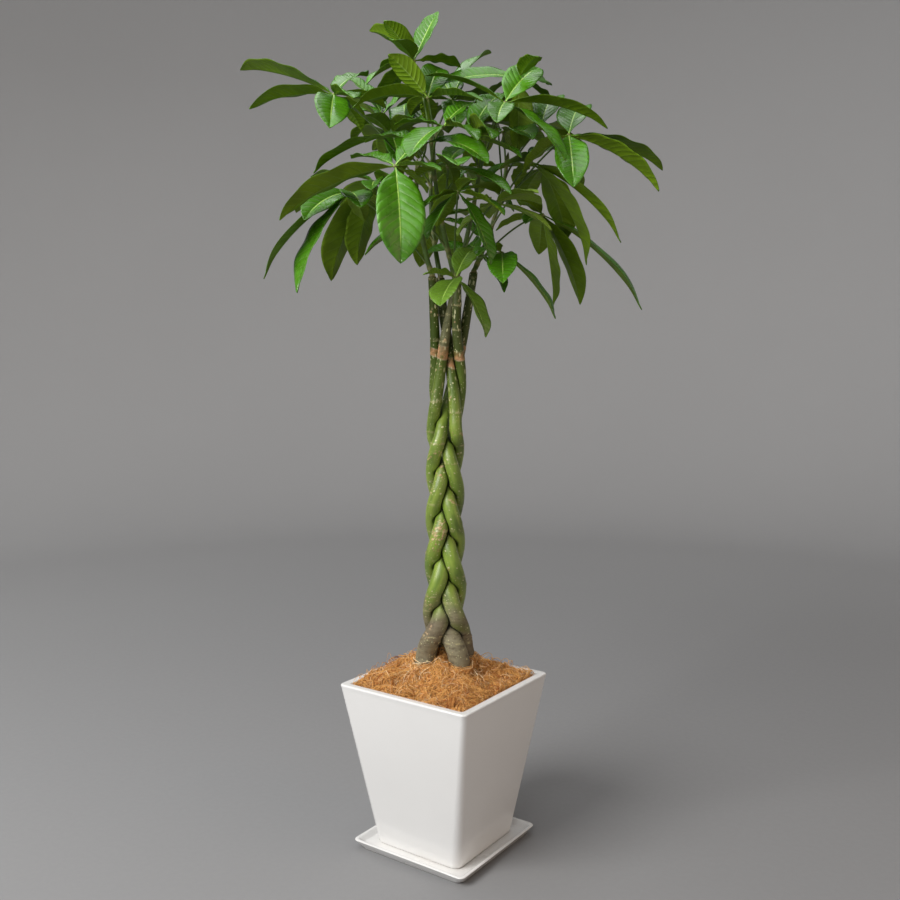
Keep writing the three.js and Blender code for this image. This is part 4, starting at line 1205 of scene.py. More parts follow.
def stem_levels(stem, step):
    """Heights of a stem's rings, and how far each is drawn in, with a rounded cut top."""
    top = STEMS[stem]["loose"][-1][2]
    levels = np.concatenate([[STEM_ROOT_Z, 300], np.arange(330, top - 3, step)])
    drawn_in = np.concatenate([np.ones(len(levels)), CUT_SHARES])
    return np.concatenate([levels, top + np.array(CUT_RISES)]), drawn_in


def stem_marks(stem, z, run, angles, radius, rng):
    """Ring scars, the orange band and the corky knots of a stem, each from 0 to 1."""
    rings_at = np.cumsum(rng.uniform(*SCAR_GAPS, SCARS)) + 20 * stem
    scars = np.exp(-(((run[:, None] - rings_at) / 1.7) ** 2)).max(axis=1)[:, None]
    middle, half = STEMS[stem]["band"]
    tilt = 4 * np.cos(angles - rng.uniform(0, ANY_ANGLE))
    band = smooth(half - np.abs(z[:, None] + tilt - middle), 0, 6)
    knots = np.zeros((len(z), angles.size))
    for at, turn in zip(rng.uniform(60, run[-1] - 30, KNOTS), rng.uniform(0, FULL_TURN, KNOTS)):
        aside = np.angle(np.exp(1j * (angles - turn))) * radius
        knots = np.maximum(knots, np.exp(-(((run[:, None] - at) / 5.5) ** 2 + (aside / 6.0) ** 2)))
    return scars, band, knots


def pressed(stem, z, centre, angles, reach):
    """A stem's outlines pressed flat halfway to its neighbours, and how deep each point lies in the creases
    between them, for the painted shade there.
    """
    crease = np.zeros_like(reach)
    for other in range(STEM_COUNT):
        if other == stem:
            continue
        way = stem_centres(other, z) - centre
        distance = np.linalg.norm(way, axis=1)[:, None]
        facing = np.cos(angles - np.arctan2(way[:, 1], way[:, 0])[:, None])
        limit = np.where(facing > 0.02, (distance / 2 - 0.35) / np.maximum(facing, 0.02), 1e3)
        meet = np.maximum(CREASE_WIDTH - np.abs(reach - limit), 0) / CREASE_WIDTH
        crease = np.maximum(crease, smooth(reach - limit, -1.6, 0.8))
        reach = np.minimum(reach, limit) - meet**2 * CREASE_WIDTH / 4
    return np.maximum(reach, 0.6), crease


def stem_surface(stem, sides, step, rng):
    """A stem's skin, the values that its material reads, and its points as on an unrolled straight stem."""
    z, drawn_in = stem_levels(stem, step)
    centre = stem_centres(stem, z)
    slope = (stem_centres(stem, z + 2) - stem_centres(stem, z - 2)) / 4
    heading = np.arctan2(slope[:, 1], slope[:, 0])[:, None]
    stretch = np.sqrt(1 + (slope**2).sum(axis=1))[:, None]
    angles = all_round(sides)[None, :]
    run = np.cumsum(np.concatenate([[0], np.diff(z)]) * stretch[:, 0])
    radius = read_off(STEM_RADII, z)[:, None]
    scars, band, knots = stem_marks(stem, z, run, angles, radius, rng)
    along = run[:, None] + STEM_APART * stem
    straight = np.broadcast_arrays(radius * np.cos(angles), radius * np.sin(angles), along)
    unrolled = np.stack(straight, axis=-1)
    broad = clouds(unrolled, size=55, seed=stem)
    fine = clouds(unrolled, size=14, seed=stem + 9)
    bulge = 1 + 0.03 * broad + 0.012 * fine
    own = radius * bulge * drawn_in[:, None] + 0.5 * scars + 1.0 * knots + 0.4 * band
    oval = own / np.hypot(np.cos(angles - heading) / stretch, np.sin(angles - heading))
    reach, crease = pressed(stem, z, centre, angles, oval)
    x = centre[:, :1] + reach * np.cos(angles)
    y = centre[:, 1:] + reach * np.sin(angles)
    points = np.stack(np.broadcast_arrays(x, y, z[:, None]), axis=-1)
    patchy = clouds(unrolled, size=26, seed=stem + 20)
    old = 1 - smooth(z[:, None] + 55 * patchy + rng.uniform(-20, 20), 430, 540)
    upper = STEMS[stem]["worn"] * smooth(z[:, None] + 30 * patchy, 985, 1030)
    values = {
        "ring": scars,
        "band": band,
        "scab": np.maximum(knots, 0.8 * smooth(scars, 0.5, 1) * smooth(patchy, 0.1, 0.4)),
        # painted shade in the creases between the stems
        "crease": 0.9 * crease,
        "old": np.maximum(old, upper),
        "shade": 0.95 * smooth(z, 800, 1030)[:, None],
        "cork": (np.arange(len(z)) >= len(z) - 4)[:, None],
    }
    flat = {key: np.broadcast_to(value, reach.shape).ravel() for key, value in values.items()}
    return skin(points), flat, unrolled.reshape(-1, 3) * MM


def shoot_curve(stem, share):
    """Points on a shoot's centre line, at shares from its foot."""
    a, b, c, d = np.array(STEMS[stem]["shoot"], dtype=float)
    t = np.asarray(share, dtype=float)[:, None]
    return (1 - t) ** 3 * a + 3 * t * (1 - t) ** 2 * b + 3 * t**2 * (1 - t) * c + t**3 * d


def petiole_root(leaf, hub, attempt):
    """Where a leaf's stalk starts on its shoot, at one attempt of the frame's search."""
    points = shoot_curve(leaf["shoot"], np.linspace(0, 1, SHOOT_SPANS + 1))
    spread = math.hypot(hub[0] - points[1][0], hub[1] - points[1][1])
    shift = 12 * math.ceil(attempt / 2) * (1 if attempt % 2 else -1)
    wanted = hub[2] - 30 - 0.75 * spread + shift
    height = min(max(wanted, points[0][2] + 16), points[-1][2] - 4)
    x, y = (np.interp(height, points[:, 2], points[:, axis]) for axis in (0, 1))
    return np.array([x, y, height])


def petiole_path(leaf, hub, attempt, spans):
    """Points along a leaf's stalk, which arches up and out to its hub."""
    root = petiole_root(leaf, hub, attempt)
    out = unit((hub - root) * [1, 1, 0])
    length = np.linalg.norm(hub - root)
    bow = (draw(attempt, 3, 21) - 0.5) * 0.5 * length * min(attempt, 12) / 12
    bend = (root + hub) / 2 + np.array([-out[1] * bow, out[0] * bow, PETIOLE_ARCH * length])
    t = np.linspace(0, 1, spans + 1)[:, None]
    return (1 - t) ** 2 * root + 2 * t * (1 - t) * bend + t**2 * hub


def leaflet_place(leaf, index, attempt):
    """A leaflet's place at one attempt, as in the frame's search of clear places."""
    tip = LEAVES[leaf]["tips"][index]

    def stray(n):
        """How far off its first place the attempt is, in one way."""
        return (draw(leaf * 16 + index, attempt, n) - 0.5) * 2 * min(attempt / 80, 2)

    reach = np.array(tip[:3], dtype=float)
    length = np.linalg.norm(reach)
    reach += np.array([0.16 * stray(1), 0.55 * stray(2), 0.2 * stray(3)]) * length
    reach = unit(reach) * length * (1 - 0.25 * min(attempt / TRIES, 1))
    return {
        "reach": reach,
        "width": tip[3] if len(tip) > 3 else LEAFLET_WIDTH,
        "arch": LEAFLET_ARCH + 0.08 * (draw(leaf, index, 31) - 0.5) + 0.08 * stray(4),
        "roll": (draw(leaf, index, 33) - 0.5) * 0.5 + stray(5) * 0.5,
    }


def leaflet_frame(hub, place, share):
    """Points on a leaflet's rib, and unit vectors along, across and out of its blade, at given shares."""
    reach = place["reach"]
    length = np.linalg.norm(reach)
    ahead = reach / length
    up = np.array([0, 0, 1.0]) + 0.35 * unit(reach * [1, 1, 0])
    up = unit(up - up.dot(ahead) * ahead)
    bend = hub + 0.45 * reach + up * place["arch"] * length
    t = np.asarray(share, dtype=float)[:, None]
    at = (1 - t) ** 2 * hub + 2 * t * (1 - t) * bend + t**2 * (hub + reach)
    along = unit((1 - t) * (bend - hub) + t * (hub + reach - bend))
    level = unit(np.cross(along, up))
    roll = place["roll"]
    across = level * math.cos(roll) + np.cross(along, level) * math.sin(roll)
    return at, along, across, np.cross(across, along)


def node_points(node):
    """The points of a frame node, in millimetres in the tree's axes."""
    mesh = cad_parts[node].data
    flat = np.empty(len(mesh.vertices) * 3, dtype=np.float32)
    mesh.vertices.foreach_get("co", flat)
    return turned(flat.reshape(-1, 3).astype(float) / MM, -TREE_TURN)


def distance_to(points, wanted):
    """Distance from a place to the nearest of some points."""
    return np.linalg.norm(points - wanted, axis=1).min()


def find_leaflet(points, leaf, index, hub):
    """The place at which the frame has a leaflet, found by its tip."""
    for attempt in range(TRIES):
        place = leaflet_place(leaf, index, attempt)
        at, _, _, out = leaflet_frame(hub, place, [1.0])
        tips = [at[0] + side * out[0] * LEAFLET_THICKNESS / 2 for side in (1, -1)]
        if all(distance_to(points, tip) < MATCH for tip in tips):
            return place
    raise RuntimeError(f"leaflet {index + 1} of leaf {leaf + 1} isn't in the frame")


def find_petiole(points, leaf, hub):
    """The attempt at which the frame has a leaf's stalk, found by the rings along it."""
    for attempt in range(TRIES):
        path = petiole_path(LEAVES[leaf], hub, attempt, 4)
        rings = tube_rings(path, np.full(len(path), PETIOLE_RADIUS), PETIOLE_SIDES)[1:-1]
        if sum(distance_to(points, corner) < MATCH for corner in rings.reshape(-1, 3)) >= PETIOLE_SIDES:
            return attempt
    raise RuntimeError(f"the stalk of leaf {leaf + 1} isn't in the frame")


def leaflet_widths(place, length, share):
    """Half widths of a leaflet, from its short stalk to its drawn-out tip."""
    stalk_share = min(0.075, LEAFLET_STALK / length)
    blade = np.clip((share - stalk_share) / (1 - stalk_share), 0, 1)
    shifts = np.linspace(-0.04, 0.04, 5)
    outline = np.mean([read_off(LEAFLET_OUTLINE, blade + shift) for shift in shifts], axis=0)
    stalk = 1.5 * (1 - smooth(share, stalk_share, stalk_share + 0.12)) + 0.35
    width = np.maximum(place["width"] * length / 2 * outline, stalk)
    width[-1] = 0.25
    return width


def both_faces(upper, lower):
    """Rows over the upper face and back over the lower one."""
    return np.concatenate([upper, lower[:, ::-1]], axis=1)


def leaflet_surface(hub, place, rows, columns, ripple, phase):
    """A leaflet's blade, both faces in one closed skin, and the values that its material reads."""
    length = np.linalg.norm(place["reach"])
    share = np.concatenate([[0.0, 0.02, 0.045], np.linspace(0.07, 1, rows - 3) ** 0.97])
    at, _, across, out = leaflet_frame(hub, place, share)
    width = leaflet_widths(place, length, share)
    leafy = smooth(width, 2, 9)[:, None]
    share = share[:, None]
    u = np.linspace(-1, 1, columns)
    u = np.sign(u) * np.abs(u) ** 1.25
    x = width[:, None] * u[None, :]
    aside = np.broadcast_to(np.abs(u)[None, :], x.shape)
    pitch = length / (VEINS[0] + VEINS[1] * phase)
    vein = (share * length - 0.62 * np.abs(x) - 0.006 * x**2) / pitch

    fold = math.tan(LEAFLET_FOLD) * (1.15 * np.abs(x) - 0.15 * np.abs(x) * aside**2)
    waves = WAVES[0] + WAVES[1] * phase
    ruffle = ripple * np.sin(FULL_TURN * (share * waves + phase * 3 + 0.45 * np.sign(u)[None, :]))
    ruffle = ruffle * aside**2.2 * leafy
    cushion = (0.5 - 0.5 * np.cos(FULL_TURN * vein)) * 4 * aside * (1 - aside)
    quilt = 0.7 * cushion * leafy * min(place["width"] * length / 52, 1.2)
    groove = -0.55 * np.exp(-((x / 1.5) ** 2)) * leafy
    sink = -0.02 * length * smooth(share, 0.75, 1) ** 2
    keel = 0.7 * np.exp(-((x / 1.6) ** 2)) * leafy * (1 - 0.6 * share)
    thick = 0.95 * (1 - leafy) + 0.3 * leafy * (1 - 0.4 * aside)
    lift = fold + ruffle + quilt + groove + sink

    middle = at[:, None, :] + across[:, None, :] * x[..., None]
    upper = middle + out[:, None, :] * (lift + thick)[..., None]
    lower = middle + out[:, None, :] * (lift - thick - keel)[..., None]
    off_rib = np.abs(x) + 1.5 * smooth(share, 0.7, 0.97)
    values = {
        "vein": both_faces(vein, vein) + VEIN_START,
        "rib": both_faces(off_rib, off_rib),
        "aside": both_faces(aside, aside),
        "under": both_faces(np.zeros(x.shape), np.ones(x.shape)),
    }
    return skin(both_faces(upper, lower)), {key: value.ravel() for key, value in values.items()}


def ball(centre, radius, flat=0.8, rows=7, sides=12):
    """A slightly flattened ball, for the swollen end where leaflets meet."""
    rings = []
    for i in range(1, rows):
        angle = math.pi * (i / rows - 0.5)
        rise = np.array([0, 0, radius * flat * math.sin(angle)])
        rings.append(centre + circle(sides) * radius * math.cos(angle) + rise)
    return skin(rings)


def grown_leaf(index, spans):
    """Where the frame has a leaf's hub, stalk and leaflets."""
    points = node_points(f"leaf_{index + 1:02d}")
    hub = np.array(LEAVES[index]["hub"], dtype=float)
    path = petiole_path(LEAVES[index], hub, find_petiole(points, index, hub), spans)
    places = [find_leaflet(points, index, i, hub) for i in range(len(LEAVES[index]["tips"]))]
    return {"hub": hub, "path": path, "places": places, "spares": []}


def blade_points(hub, place):
    """Points spread over a leaflet's blade away from its hub, less than a centimetre apart."""
    length = np.linalg.norm(place["reach"])
    share = np.linspace(HUB_ROOM / length, 1, math.ceil(length / 8))
    at, _, across, out = leaflet_frame(hub, place, share)
    half = place["width"] * length / 2 * read_off(LEAFLET_OUTLINE, share)
    x = half[:, None] * np.linspace(-1, 1, 9)
    lift = math.tan(LEAFLET_FOLD) * np.abs(x)
    return (at[:, None] + across[:, None] * x[..., None] + out[:, None] * lift[..., None]).reshape(-1, 3)


def crowd_of(leaves):
    """All blades, stalks and shoots of the crown as a tree of points, to ask for the nearest one."""
    crowd = [shoot_curve(stem, np.linspace(0, 1, 60)) for stem in range(STEM_COUNT)]
    for leaf in leaves:
        crowd.append(leaf["path"][: int(0.8 * len(leaf["path"]))])
        crowd.extend(blade_points(leaf["hub"], place) for place in leaf["places"] + leaf["spares"])
    points = np.concatenate(crowd)
    tree = kdtree.KDTree(len(points))
    for i, point in enumerate(points):
        tree.insert(point, i)
    tree.balance()
    return tree


def add_spares(index, leaves):
    """Gives a leaf small leaflets in its gaps, at tried places that are clear of all the rest."""
    leaf = leaves[index]
    crowd = crowd_of(leaves)
    for attempt in range(SPARE_TRIES):
        around, slope, size, roll = (draw(index, attempt, n) for n in (61, 62, 63, 64))
        angle = FULL_TURN * around
        way = unit([math.cos(angle), math.sin(angle), 0.8 * slope - 0.55])
        near = max(way.dot(unit(place["reach"])) for place in leaf["places"] + leaf["spares"])
        if near > math.cos(SPARE_ANGLE):
            continue
        reach = way * np.interp(size, [0, 1], SPARE_LENGTHS)
        roll = 0.5 * (roll - 0.5)
        place = {"reach": reach, "width": LEAFLET_WIDTH, "arch": LEAFLET_ARCH, "roll": roll}
        points = blade_points(leaf["hub"], place)
        inside = np.abs(points[:, 0]).max() < CROWN_CORE
        if inside and all(crowd.find(point)[2] > SPARE_ROOM for point in points):
            leaf["spares"].append(place)
        if len(leaf["spares"]) == SPARES:
            break


def leaf_piece(index, grown, looks):
    """One leaf: stalk, hub and leaflets, where the frame has them, and its small leaflets."""
    hub, path = grown["hub"], grown["path"]
    parts = Parts()
    run = np.linspace(0, 1, len(path)) * np.linalg.norm(hub - path[0])
    left = run[-1] - run
    swelling = 0.9 * np.exp(-((run / 9) ** 2)) + 0.35 * np.exp(-((left / 9) ** 2))
    rings = tube_rings(path, PETIOLE_RADIUS * (1 + swelling), STALK_SIDES)
    joint = np.clip(np.exp(-((run / 12) ** 2)) + np.exp(-((left / 8) ** 2)), 0, 1)
    parts.add(skin(rings), slot=1, joint=np.repeat(joint, STALK_SIDES))
    parts.add(ball(hub, HUB_RADIUS), slot=1, joint=0.7)
    young = LEAVES[index].get("young", 0.0)
    for i, place in enumerate(grown["places"] + grown["spares"]):
        phase = draw(index, i, 51)
        ripple = looks.ripple / MM * (0.25 + 0.7 * draw(index, i, 52))
        rows = looks.rows if i < len(grown["places"]) else looks.spare_rows
        surface, values = leaflet_surface(hub, place, rows, looks.columns, ripple, phase)
        parts.add(surface, tint=draw(index, i, 53), young=young, **values)
    blade = once(bpy.data.materials, "Leaf", leaf_material)
    stalk = once(bpy.data.materials, "Green shoot", shoot_material)
    piece = parts.build(f"leaf_{index + 1:02d}_fine", [blade, stalk], TREE_TURN)
    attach(piece, "root")
    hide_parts(f"leaf_{index + 1:02d}")


def shoot_piece(stem):
    """A green shoot with a swelling at each leaf stalk and a pointed bud at its end."""
    share = np.linspace(0, 1, 60)
    path = shoot_curve(stem, share)
    radii = SHOOT_RADIUS_LOW + (SHOOT_RADIUS_TOP - SHOOT_RADIUS_LOW) * share
    joint = np.zeros(len(path))
    for index, leaf in enumerate(LEAVES):
        if leaf["shoot"] != stem:
            continue
        hub = np.array(leaf["hub"], dtype=float)
        attempt = find_petiole(node_points(f"leaf_{index + 1:02d}"), index, hub)
        root = petiole_root(leaf, hub, attempt)
        joint = np.maximum(joint, np.exp(-(((path[:, 2] - root[2]) / 4) ** 2)))
    rings = tube_rings(path, radii + 0.8 * joint, SHOOT_SIDES)
    foot_rings = [
        path[0] + [0, 0, GAP + rise] + circle(SHOOT_SIDES) * SHOOT_RADIUS_LOW * grow
        for rise, grow in zip(SHOOT_FOOT_RISES, SHOOT_FOOT_GROWS)
    ]
    bud = path[-1] + np.outer(np.array(BUD_RUNS) * BUD_LENGTH, unit(path[-1] - path[-2]))
    bud_rings = tube_rings(bud, SHOOT_RADIUS_TOP * np.array(BUD_GROWS), SHOOT_SIDES)
    first = len(foot_rings)
    flags = np.concatenate([[1, 1, 0.5], joint[first:], [0.6] * len(bud)])
    parts = Parts()
    parts.add(skin([*foot_rings, *rings[first:], *bud_rings]), joint=np.repeat(flags, SHOOT_SIDES))
    material = once(bpy.data.materials, "Green shoot", shoot_material)
    piece = parts.build(f"shoot_{stem + 1}_fine", [material], TREE_TURN)
    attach(piece, "root")
    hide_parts(f"shoot_{stem + 1}")


class MoneyTreePot(bpy.types.PropertyGroup):
    """Glaze of the pot and its saucer."""

    glaze: FloatVectorProperty(
        name="Glaze", description="Colour of the glaze", subtype="COLOR", size=4, min=0, max=1,
        default=(0.83, 0.825, 0.815, 1.0),
    )
    roughness: FloatProperty(
        name="Roughness", description="Roughness of the glaze", default=0.22, min=0.05, max=1,
        subtype="FACTOR",
    )
    coat: FloatProperty(
        name="Coat", description="Strength of the clear coat", default=0.5, min=0, max=1, subtype="FACTOR"
    )


class MoneyTreeFibre(bpy.types.PropertyGroup):
    """Coconut fibre over the soil."""

    strands: IntProperty(name="Strands", description="Number of loose strands", default=7000, min=100)
    steps: IntProperty(name="Steps", description="Points along each strand", default=8, min=4, max=20)
    width: FloatProperty(
        name="Width", description="Mean width of a strand", default=0.00095, unit="LENGTH",
        subtype="DISTANCE", precision=4,
    )
    seed: IntProperty(name="Seed", description="Start of the random draws", default=7)
    light: FloatVectorProperty(
        name="Light", description="Tone of the brightest strands", subtype="COLOR", size=4, min=0, max=1,
        default=(1.0, 0.56, 0.17, 1.0),
    )
    dark: FloatVectorProperty(
        name="Dark", description="Tone of the darkest strands", subtype="COLOR", size=4, min=0, max=1,
        default=(0.45, 0.12, 0.015, 1.0),
    )
    dry: FloatVectorProperty(
        name="Dry", description="Tone of the dry and bleached fibres", subtype="COLOR", size=4, min=0,
        max=1, default=(1.0, 0.79, 0.5, 1.0),
    )


class MoneyTreeTrunk(bpy.types.PropertyGroup):
    """Plaited stems."""

    sides: IntProperty(name="Sides", description="Points round each stem", default=40, min=8)
    step: FloatProperty(
        name="Step", description="Height between the rings of points", default=0.0026, unit="LENGTH",
        subtype="DISTANCE", precision=4,
    )
    green: FloatVectorProperty(
        name="Green", description="Bark on the upper trunk", subtype="COLOR", size=4, min=0, max=1,
        default=(0.135, 0.22, 0.024, 1.0),
    )
    fresh: FloatVectorProperty(
        name="Fresh streaks", description="Bright streaks in the green bark", subtype="COLOR", size=4,
        min=0, max=1, default=(0.36, 0.47, 0.07, 1.0),
    )
    brown: FloatVectorProperty(
        name="Brown", description="Old bark near the soil", subtype="COLOR", size=4, min=0, max=1,
        default=(0.23, 0.17, 0.105, 1.0),
    )
    band: FloatVectorProperty(
        name="Band", description="Orange ring where each stem was once cut back", subtype="COLOR", size=4,
        min=0, max=1, default=(0.6, 0.3, 0.15, 1.0),
    )


class MoneyTreeLeaf(bpy.types.PropertyGroup):
    """Leaves and shoots."""

    rows: IntProperty(name="Rows", description="Rows of points along a leaflet", default=47, min=8)
    spare_rows: IntProperty(
        name="Rows of small ones", description="Rows of points along a small leaflet", default=34, min=8
    )
    columns: IntProperty(
        name="Columns", description="Points across a leaflet, an odd number", default=15, min=5
    )
    stalk_spans: IntProperty(
        name="Stalk spans", description="Straight spans in a leaf stalk", default=22, min=4
    )
    ripple: FloatProperty(
        name="Ripple", description="Height of the waves along a leaflet's edge", default=0.0022,
        unit="LENGTH", subtype="DISTANCE", precision=4,
    )
    roughness: FloatProperty(
        name="Roughness", description="Roughness of the upper face", default=0.22, min=0.1, max=1,
        subtype="FACTOR",
    )
    wax: FloatProperty(
        name="Wax", description="Clear coat on the upper face", default=0.0, min=0, max=1, subtype="FACTOR"
    )
    deep: FloatVectorProperty(
        name="Deep green", description="Upper face of a grown leaf", subtype="COLOR", size=4, min=0, max=1,
        default=(0.07, 0.235, 0.006, 1.0),
    )
    fresh: FloatVectorProperty(
        name="Fresh green", description="Upper face of a young leaf", subtype="COLOR", size=4, min=0, max=1,
        default=(0.24, 0.36, 0.05, 1.0),
    )
    under: FloatVectorProperty(
        name="Underside", description="Lower face of a leaf", subtype="COLOR", size=4, min=0, max=1,
        default=(0.12, 0.21, 0.003, 1.0),
    )
    vein: FloatVectorProperty(
        name="Veins", description="Rib and side veins", subtype="COLOR", size=4, min=0, max=1,
        default=(0.26, 0.4, 0.08, 1.0),
    )
    stalk: FloatVectorProperty(
        name="Stalks", description="Leaf stalks and shoots", subtype="COLOR", size=4, min=0, max=1,
        default=(0.075, 0.14, 0.018, 1.0),
    )


class MoneyTreeStage(bpy.types.PropertyGroup):
    """Floor and light."""

    floor: FloatVectorProperty(
        name="Floor", description="Colour of the floor", subtype="COLOR", size=4, min=0, max=1,
        default=(0.26, 0.26, 0.265, 1.0),
    )
    wall: FloatVectorProperty(
        name="Wall", description="Colour of the wall", subtype="COLOR", size=4, min=0, max=1,
        default=(0.54, 0.54, 0.545, 1.0),
    )
    floor_radius: FloatProperty(
        name="Floor radius", description="How far the level floor reaches before it curves up", default=3.4,
        unit="LENGTH", subtype="DISTANCE",
    )
    wall_height: FloatProperty(
        name="Wall height", description="Height of the wall that the floor curves up into", default=3.8,
        unit="LENGTH", subtype="DISTANCE",
    )
    sky: FloatProperty(name="Sky", description="Strength of the even light", default=0.15, min=0)
    key: FloatProperty(name="Key", description="Power of the large soft light", default=138, unit="POWER")
    fill: FloatProperty(
        name="Fill", description="Power of the warm light on the right", default=17, unit="POWER"
    )
    front: FloatProperty(
        name="Front", description="Power of the light beside the camera", default=20, unit="POWER"
    )
    top: FloatProperty(name="Top", description="Power of the light overhead", default=45, unit="POWER")


class MONEY_TREE_OT_saucer(bpy.types.Operator):
    """Build the glazed saucer."""

    bl_idname = "money_tree.saucer"
    bl_label = "Saucer"

    def execute(self, context):
        parts = Parts()
        parts.add(saucer_surface())
        piece = parts.build("saucer_glazed", [once(bpy.data.materials, "Glaze", glaze_material)])
        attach(piece, "root")
        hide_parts("saucer")
        return {"FINISHED"}


class MONEY_TREE_OT_pot(bpy.types.Operator):
    """Build the glazed pot and give the soil in it its look."""

    bl_idname = "money_tree.pot"
    bl_label = "Pot and Soil"

    def execute(self, context):
        parts = Parts()
        parts.add(pot_surface())
        piece = parts.build("pot_glazed", [once(bpy.data.materials, "Glaze", glaze_material)])
        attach(piece, "root")
        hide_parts("pot")
        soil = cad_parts["soil"]
        if not soil.material_slots:
            raise RuntimeError("the frame's soil has no material slot")
        for slot in soil.material_slots:
            slot.material = once(bpy.data.materials, "Potting soil", soil_material)
        return {"FINISHED"}


class MONEY_TREE_OT_fibre(bpy.types.Operator):
    """Build the coconut fibre: its matted body and the loose strands on it."""

    bl_idname = "money_tree.fibre"
    bl_label = "Coconut Fibre"

    def execute(self, context):
        looks = context.scene.money_tree_fibre
        rng = np.random.default_rng(looks.seed)
        mat = Parts()
        # painted shade: a low tone and deep darken the matted body as the shade in the gaps under the loose
        # strands
        mat.add(mat_surface(), tone=0.2, deep=0.45)
        self.place(mat, "fibre_mat")
        half = looks.strands // 2
        batches = [
            ("fibre_lower", fibre_paths(rng, half, looks.steps), 0.0),
            ("fibre_upper", fibre_paths(rng, looks.strands - half, looks.steps), 0.0),
            ("fibre_rim", rim_paths(rng, RIM_WISPS, looks.steps + 4), 0.0),
            ("fibre_dry", dry_paths(rng, DRY_STRANDS, looks.steps + 8), 1.0),
        ]
        for name, paths, dry in batches:
            self.place(self.strand_parts(rng, paths, dry, looks.width / MM), name)
        return {"FINISHED"}

    def strand_parts(self, rng, paths, dry, width):
        """One batch of strands, thinner at their ends, each with its tone."""
        count, steps = paths.shape[:2]
        t = np.linspace(0, 1, steps)
        thick = width / 2 * rng.uniform(0.6, 1.4, (count, 1))
        radius = thick * (1 - 0.55 * np.abs(2 * t - 1) ** 3)
        clump = 0.4 * clouds(paths[:, steps // 2], size=20, seed=3)
        # scattered pale strands: dry fibres, and also painted glints
        pale = np.minimum(dry + DRY_AND_GLINT_PALENESS * (rng.random(count) < DRY_AND_GLINT_SHARE), 1)
        tone = np.clip(rng.normal(*TONES, count) + clump, 0, 1)
        points = steps * STRAND_SIDES
        parts = Parts()
        parts.add(strands(paths, radius), tone=np.repeat(tone, points), dry=np.repeat(pale, points))
        return parts

    def place(self, parts, name):
        """Makes a piece of the mulch."""
        piece = parts.build(name, [once(bpy.data.materials, "Coconut fibre", fibre_material)])
        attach(piece, "root")
        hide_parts("mulch")


class MONEY_TREE_OT_stems(bpy.types.Operator):
    """Build the five plaited stems."""

    bl_idname = "money_tree.stems"
    bl_label = "Stems"

    def execute(self, context):
        looks = context.scene.money_tree_trunk
        for stem in range(STEM_COUNT):
            rng = np.random.default_rng(STEM_SEED + stem)
            surface, values, unrolled = stem_surface(stem, looks.sides, looks.step / MM, rng)
            parts = Parts()
            parts.add(surface, **values)
            material = once(bpy.data.materials, "Bark", bark_material)
            piece = parts.build(f"stem_{stem + 1}_fine", [material], TREE_TURN)
            layer = piece.data.attributes.new("strand", "FLOAT_VECTOR", "POINT")
            layer.data.foreach_set("vector", unrolled.astype(np.float32).ravel())
            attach(piece, "root")
            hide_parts(f"stem_{stem + 1}")
        return {"FINISHED"}


class MONEY_TREE_OT_shoots(bpy.types.Operator):
    """Build the green shoots that carry the leaves."""

    bl_idname = "money_tree.shoots"
    bl_label = "Shoots"

    def execute(self, context):
        for stem in range(STEM_COUNT):
            shoot_piece(stem)
        return {"FINISHED"}


class MONEY_TREE_OT_leaves(bpy.types.Operator):
    """Build the leaves, each where the frame has it."""

    bl_idname = "money_tree.leaves"
    bl_label = "Leaves"

    def execute(self, context):
        looks = context.scene.money_tree_leaf
        leaves = [grown_leaf(index, looks.stalk_spans) for index in range(len(LEAVES))]
        for index, grown in enumerate(leaves):
            if grown["hub"][2] > SPARES_FROM_Z:
                add_spares(index, leaves)
            leaf_piece(index, grown, looks)
        return {"FINISHED"}


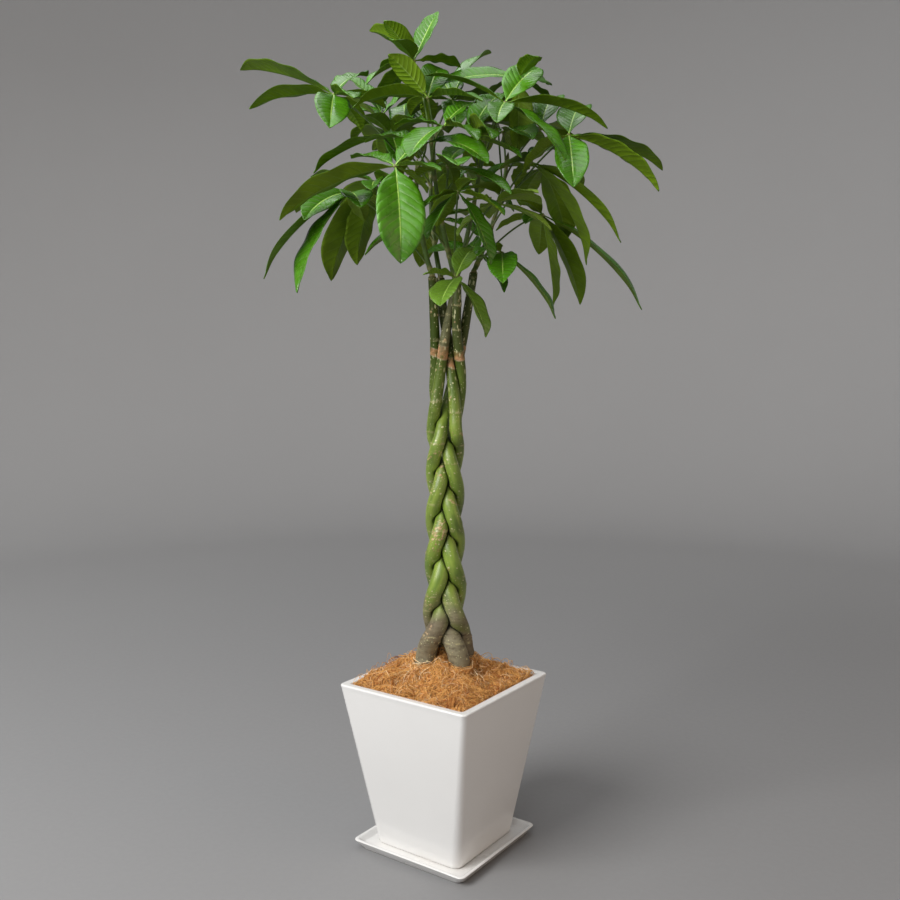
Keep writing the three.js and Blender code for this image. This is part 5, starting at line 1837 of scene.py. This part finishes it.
class MONEY_TREE_OT_stage(bpy.types.Operator):
    """Build the floor, the lights and the camera."""

    bl_idname = "money_tree.stage"
    bl_label = "Stage"

    def execute(self, context):
        looks = context.scene.money_tree_stage
        self.make_floor(looks)
        self.make_sky(context, looks)
        for name, (place, aim, size, color) in LIGHTS.items():
            self.make_light(context, name.capitalize(), place, aim, size, getattr(looks, name), color)
        self.make_camera(context)
        return {"FINISHED"}

    def make_floor(self, looks):
        """A round floor that curves up into a wall all round."""
        bends = np.linspace(0, QUARTER_TURN, 13)
        bend_reach = looks.floor_radius + FLOOR_CURVE * np.sin(bends)
        reach = [0.3, 1, 2, *bend_reach, looks.floor_radius + FLOOR_CURVE]
        height = [0, 0, 0, *(FLOOR_CURVE - FLOOR_CURVE * np.cos(bends)), looks.wall_height]
        rings = [circle(FLOOR_SIDES) * r / MM + [0, 0, h / MM] for r, h in zip(reach, height)]
        points, faces = skin(rings, capped=False)
        middle = list(range(FLOOR_SIDES))
        parts = Parts()
        parts.add((points, [face[::-1] for face in faces] + [middle]))
        parts.build("floor", [once(bpy.data.materials, "Floor", floor_material)])

    def make_sky(self, context, looks):
        """Even pale light from all sides."""
        world = bpy.data.worlds.new("Even light")
        world.use_nodes = True
        nodes = Nodes(world.node_tree)
        world.node_tree.nodes.clear()
        light = nodes.add("ShaderNodeBackground", Strength=looks.sky, Color=SKY)
        nodes.add("ShaderNodeOutputWorld", Surface=light.outputs["Background"])
        context.scene.world = world

    def make_light(self, context, name, place, aim, size, power, color):
        """A soft square light, aimed at a point."""
        light = bpy.data.lights.new(name, "AREA")
        light.shape = "SQUARE"
        light.size = size
        light.energy = power
        light.color = color
        lamp = bpy.data.objects.new(name, light)
        where = turned(np.array([place], dtype=float), TREE_TURN)[0]
        lamp.location = where
        lamp.rotation_euler = (Vector(aim) - Vector(where)).to_track_quat("-Z", "Y").to_euler()
        context.scene.collection.objects.link(lamp)

    def make_camera(self, context):
        """The camera at the photograph's place and angle."""
        camera = bpy.data.cameras.new("Camera")
        camera.sensor_width = SENSOR_WIDTH
        camera.sensor_fit = "HORIZONTAL"
        camera.lens = FOCAL_PIXELS * SENSOR_WIDTH / FRAME_PIXELS
        camera.clip_start = 0.05
        camera.clip_end = 200
        eye = bpy.data.objects.new("Camera", camera)
        level = math.cos(CAMERA_PITCH)
        way = [math.sin(CAMERA_PAN) * level, math.cos(CAMERA_PAN) * level, -math.sin(CAMERA_PITCH)]
        eye.location = turned(np.array([CAMERA_PLACE], dtype=float) * MM, TREE_TURN)[0]
        look = Vector(turned(np.array([way]), TREE_TURN)[0])
        eye.rotation_euler = look.to_track_quat("-Z", "Y").to_euler()
        context.scene.collection.objects.link(eye)
        context.scene.camera = eye
        context.scene.view_settings.view_transform = "Standard"


GROUPS = {
    "money_tree_pot": MoneyTreePot,
    "money_tree_fibre": MoneyTreeFibre,
    "money_tree_trunk": MoneyTreeTrunk,
    "money_tree_leaf": MoneyTreeLeaf,
    "money_tree_stage": MoneyTreeStage,
}
STEPS = (
    MONEY_TREE_OT_stage,
    MONEY_TREE_OT_saucer,
    MONEY_TREE_OT_pot,
    MONEY_TREE_OT_fibre,
    MONEY_TREE_OT_stems,
    MONEY_TREE_OT_shoots,
    MONEY_TREE_OT_leaves,
)


class MONEY_TREE_PT_panel(bpy.types.Panel):
    """Sidebar panel with a button for each step and the looks of each piece."""

    bl_idname = "MONEY_TREE_PT_panel"
    bl_label = "Money Tree"
    bl_space_type = "VIEW_3D"
    bl_region_type = "UI"
    bl_category = "Money Tree"

    def draw(self, context):
        """Lists the steps, then each group of settings."""
        for step in STEPS:
            self.layout.operator(step.bl_idname)
        for name in GROUPS:
            looks = getattr(context.scene, name)
            box = self.layout.box()
            for key in looks.bl_rna.properties.keys():
                if key not in {"rna_type", "name"}:
                    box.prop(looks, key)


def register():
    """Adds the classes to Blender and their settings to the scene."""
    for kind in (*GROUPS.values(), *STEPS, MONEY_TREE_PT_panel):
        bpy.utils.register_class(kind)
    for name, kind in GROUPS.items():
        setattr(bpy.types.Scene, name, PointerProperty(type=kind))


def unregister():
    """Takes away what register added."""
    for name in GROUPS:
        delattr(bpy.types.Scene, name)
    for kind in reversed((*GROUPS.values(), *STEPS, MONEY_TREE_PT_panel)):
        bpy.utils.unregister_class(kind)


def main():
    """Builds everything in order."""
    register()
    bpy.ops.money_tree.stage()
    bpy.ops.money_tree.saucer()
    bpy.ops.money_tree.pot()
    bpy.ops.money_tree.fibre()
    bpy.ops.money_tree.stems()
    bpy.ops.money_tree.shoots()
    bpy.ops.money_tree.leaves()


if __name__ == "__main__":
    main()
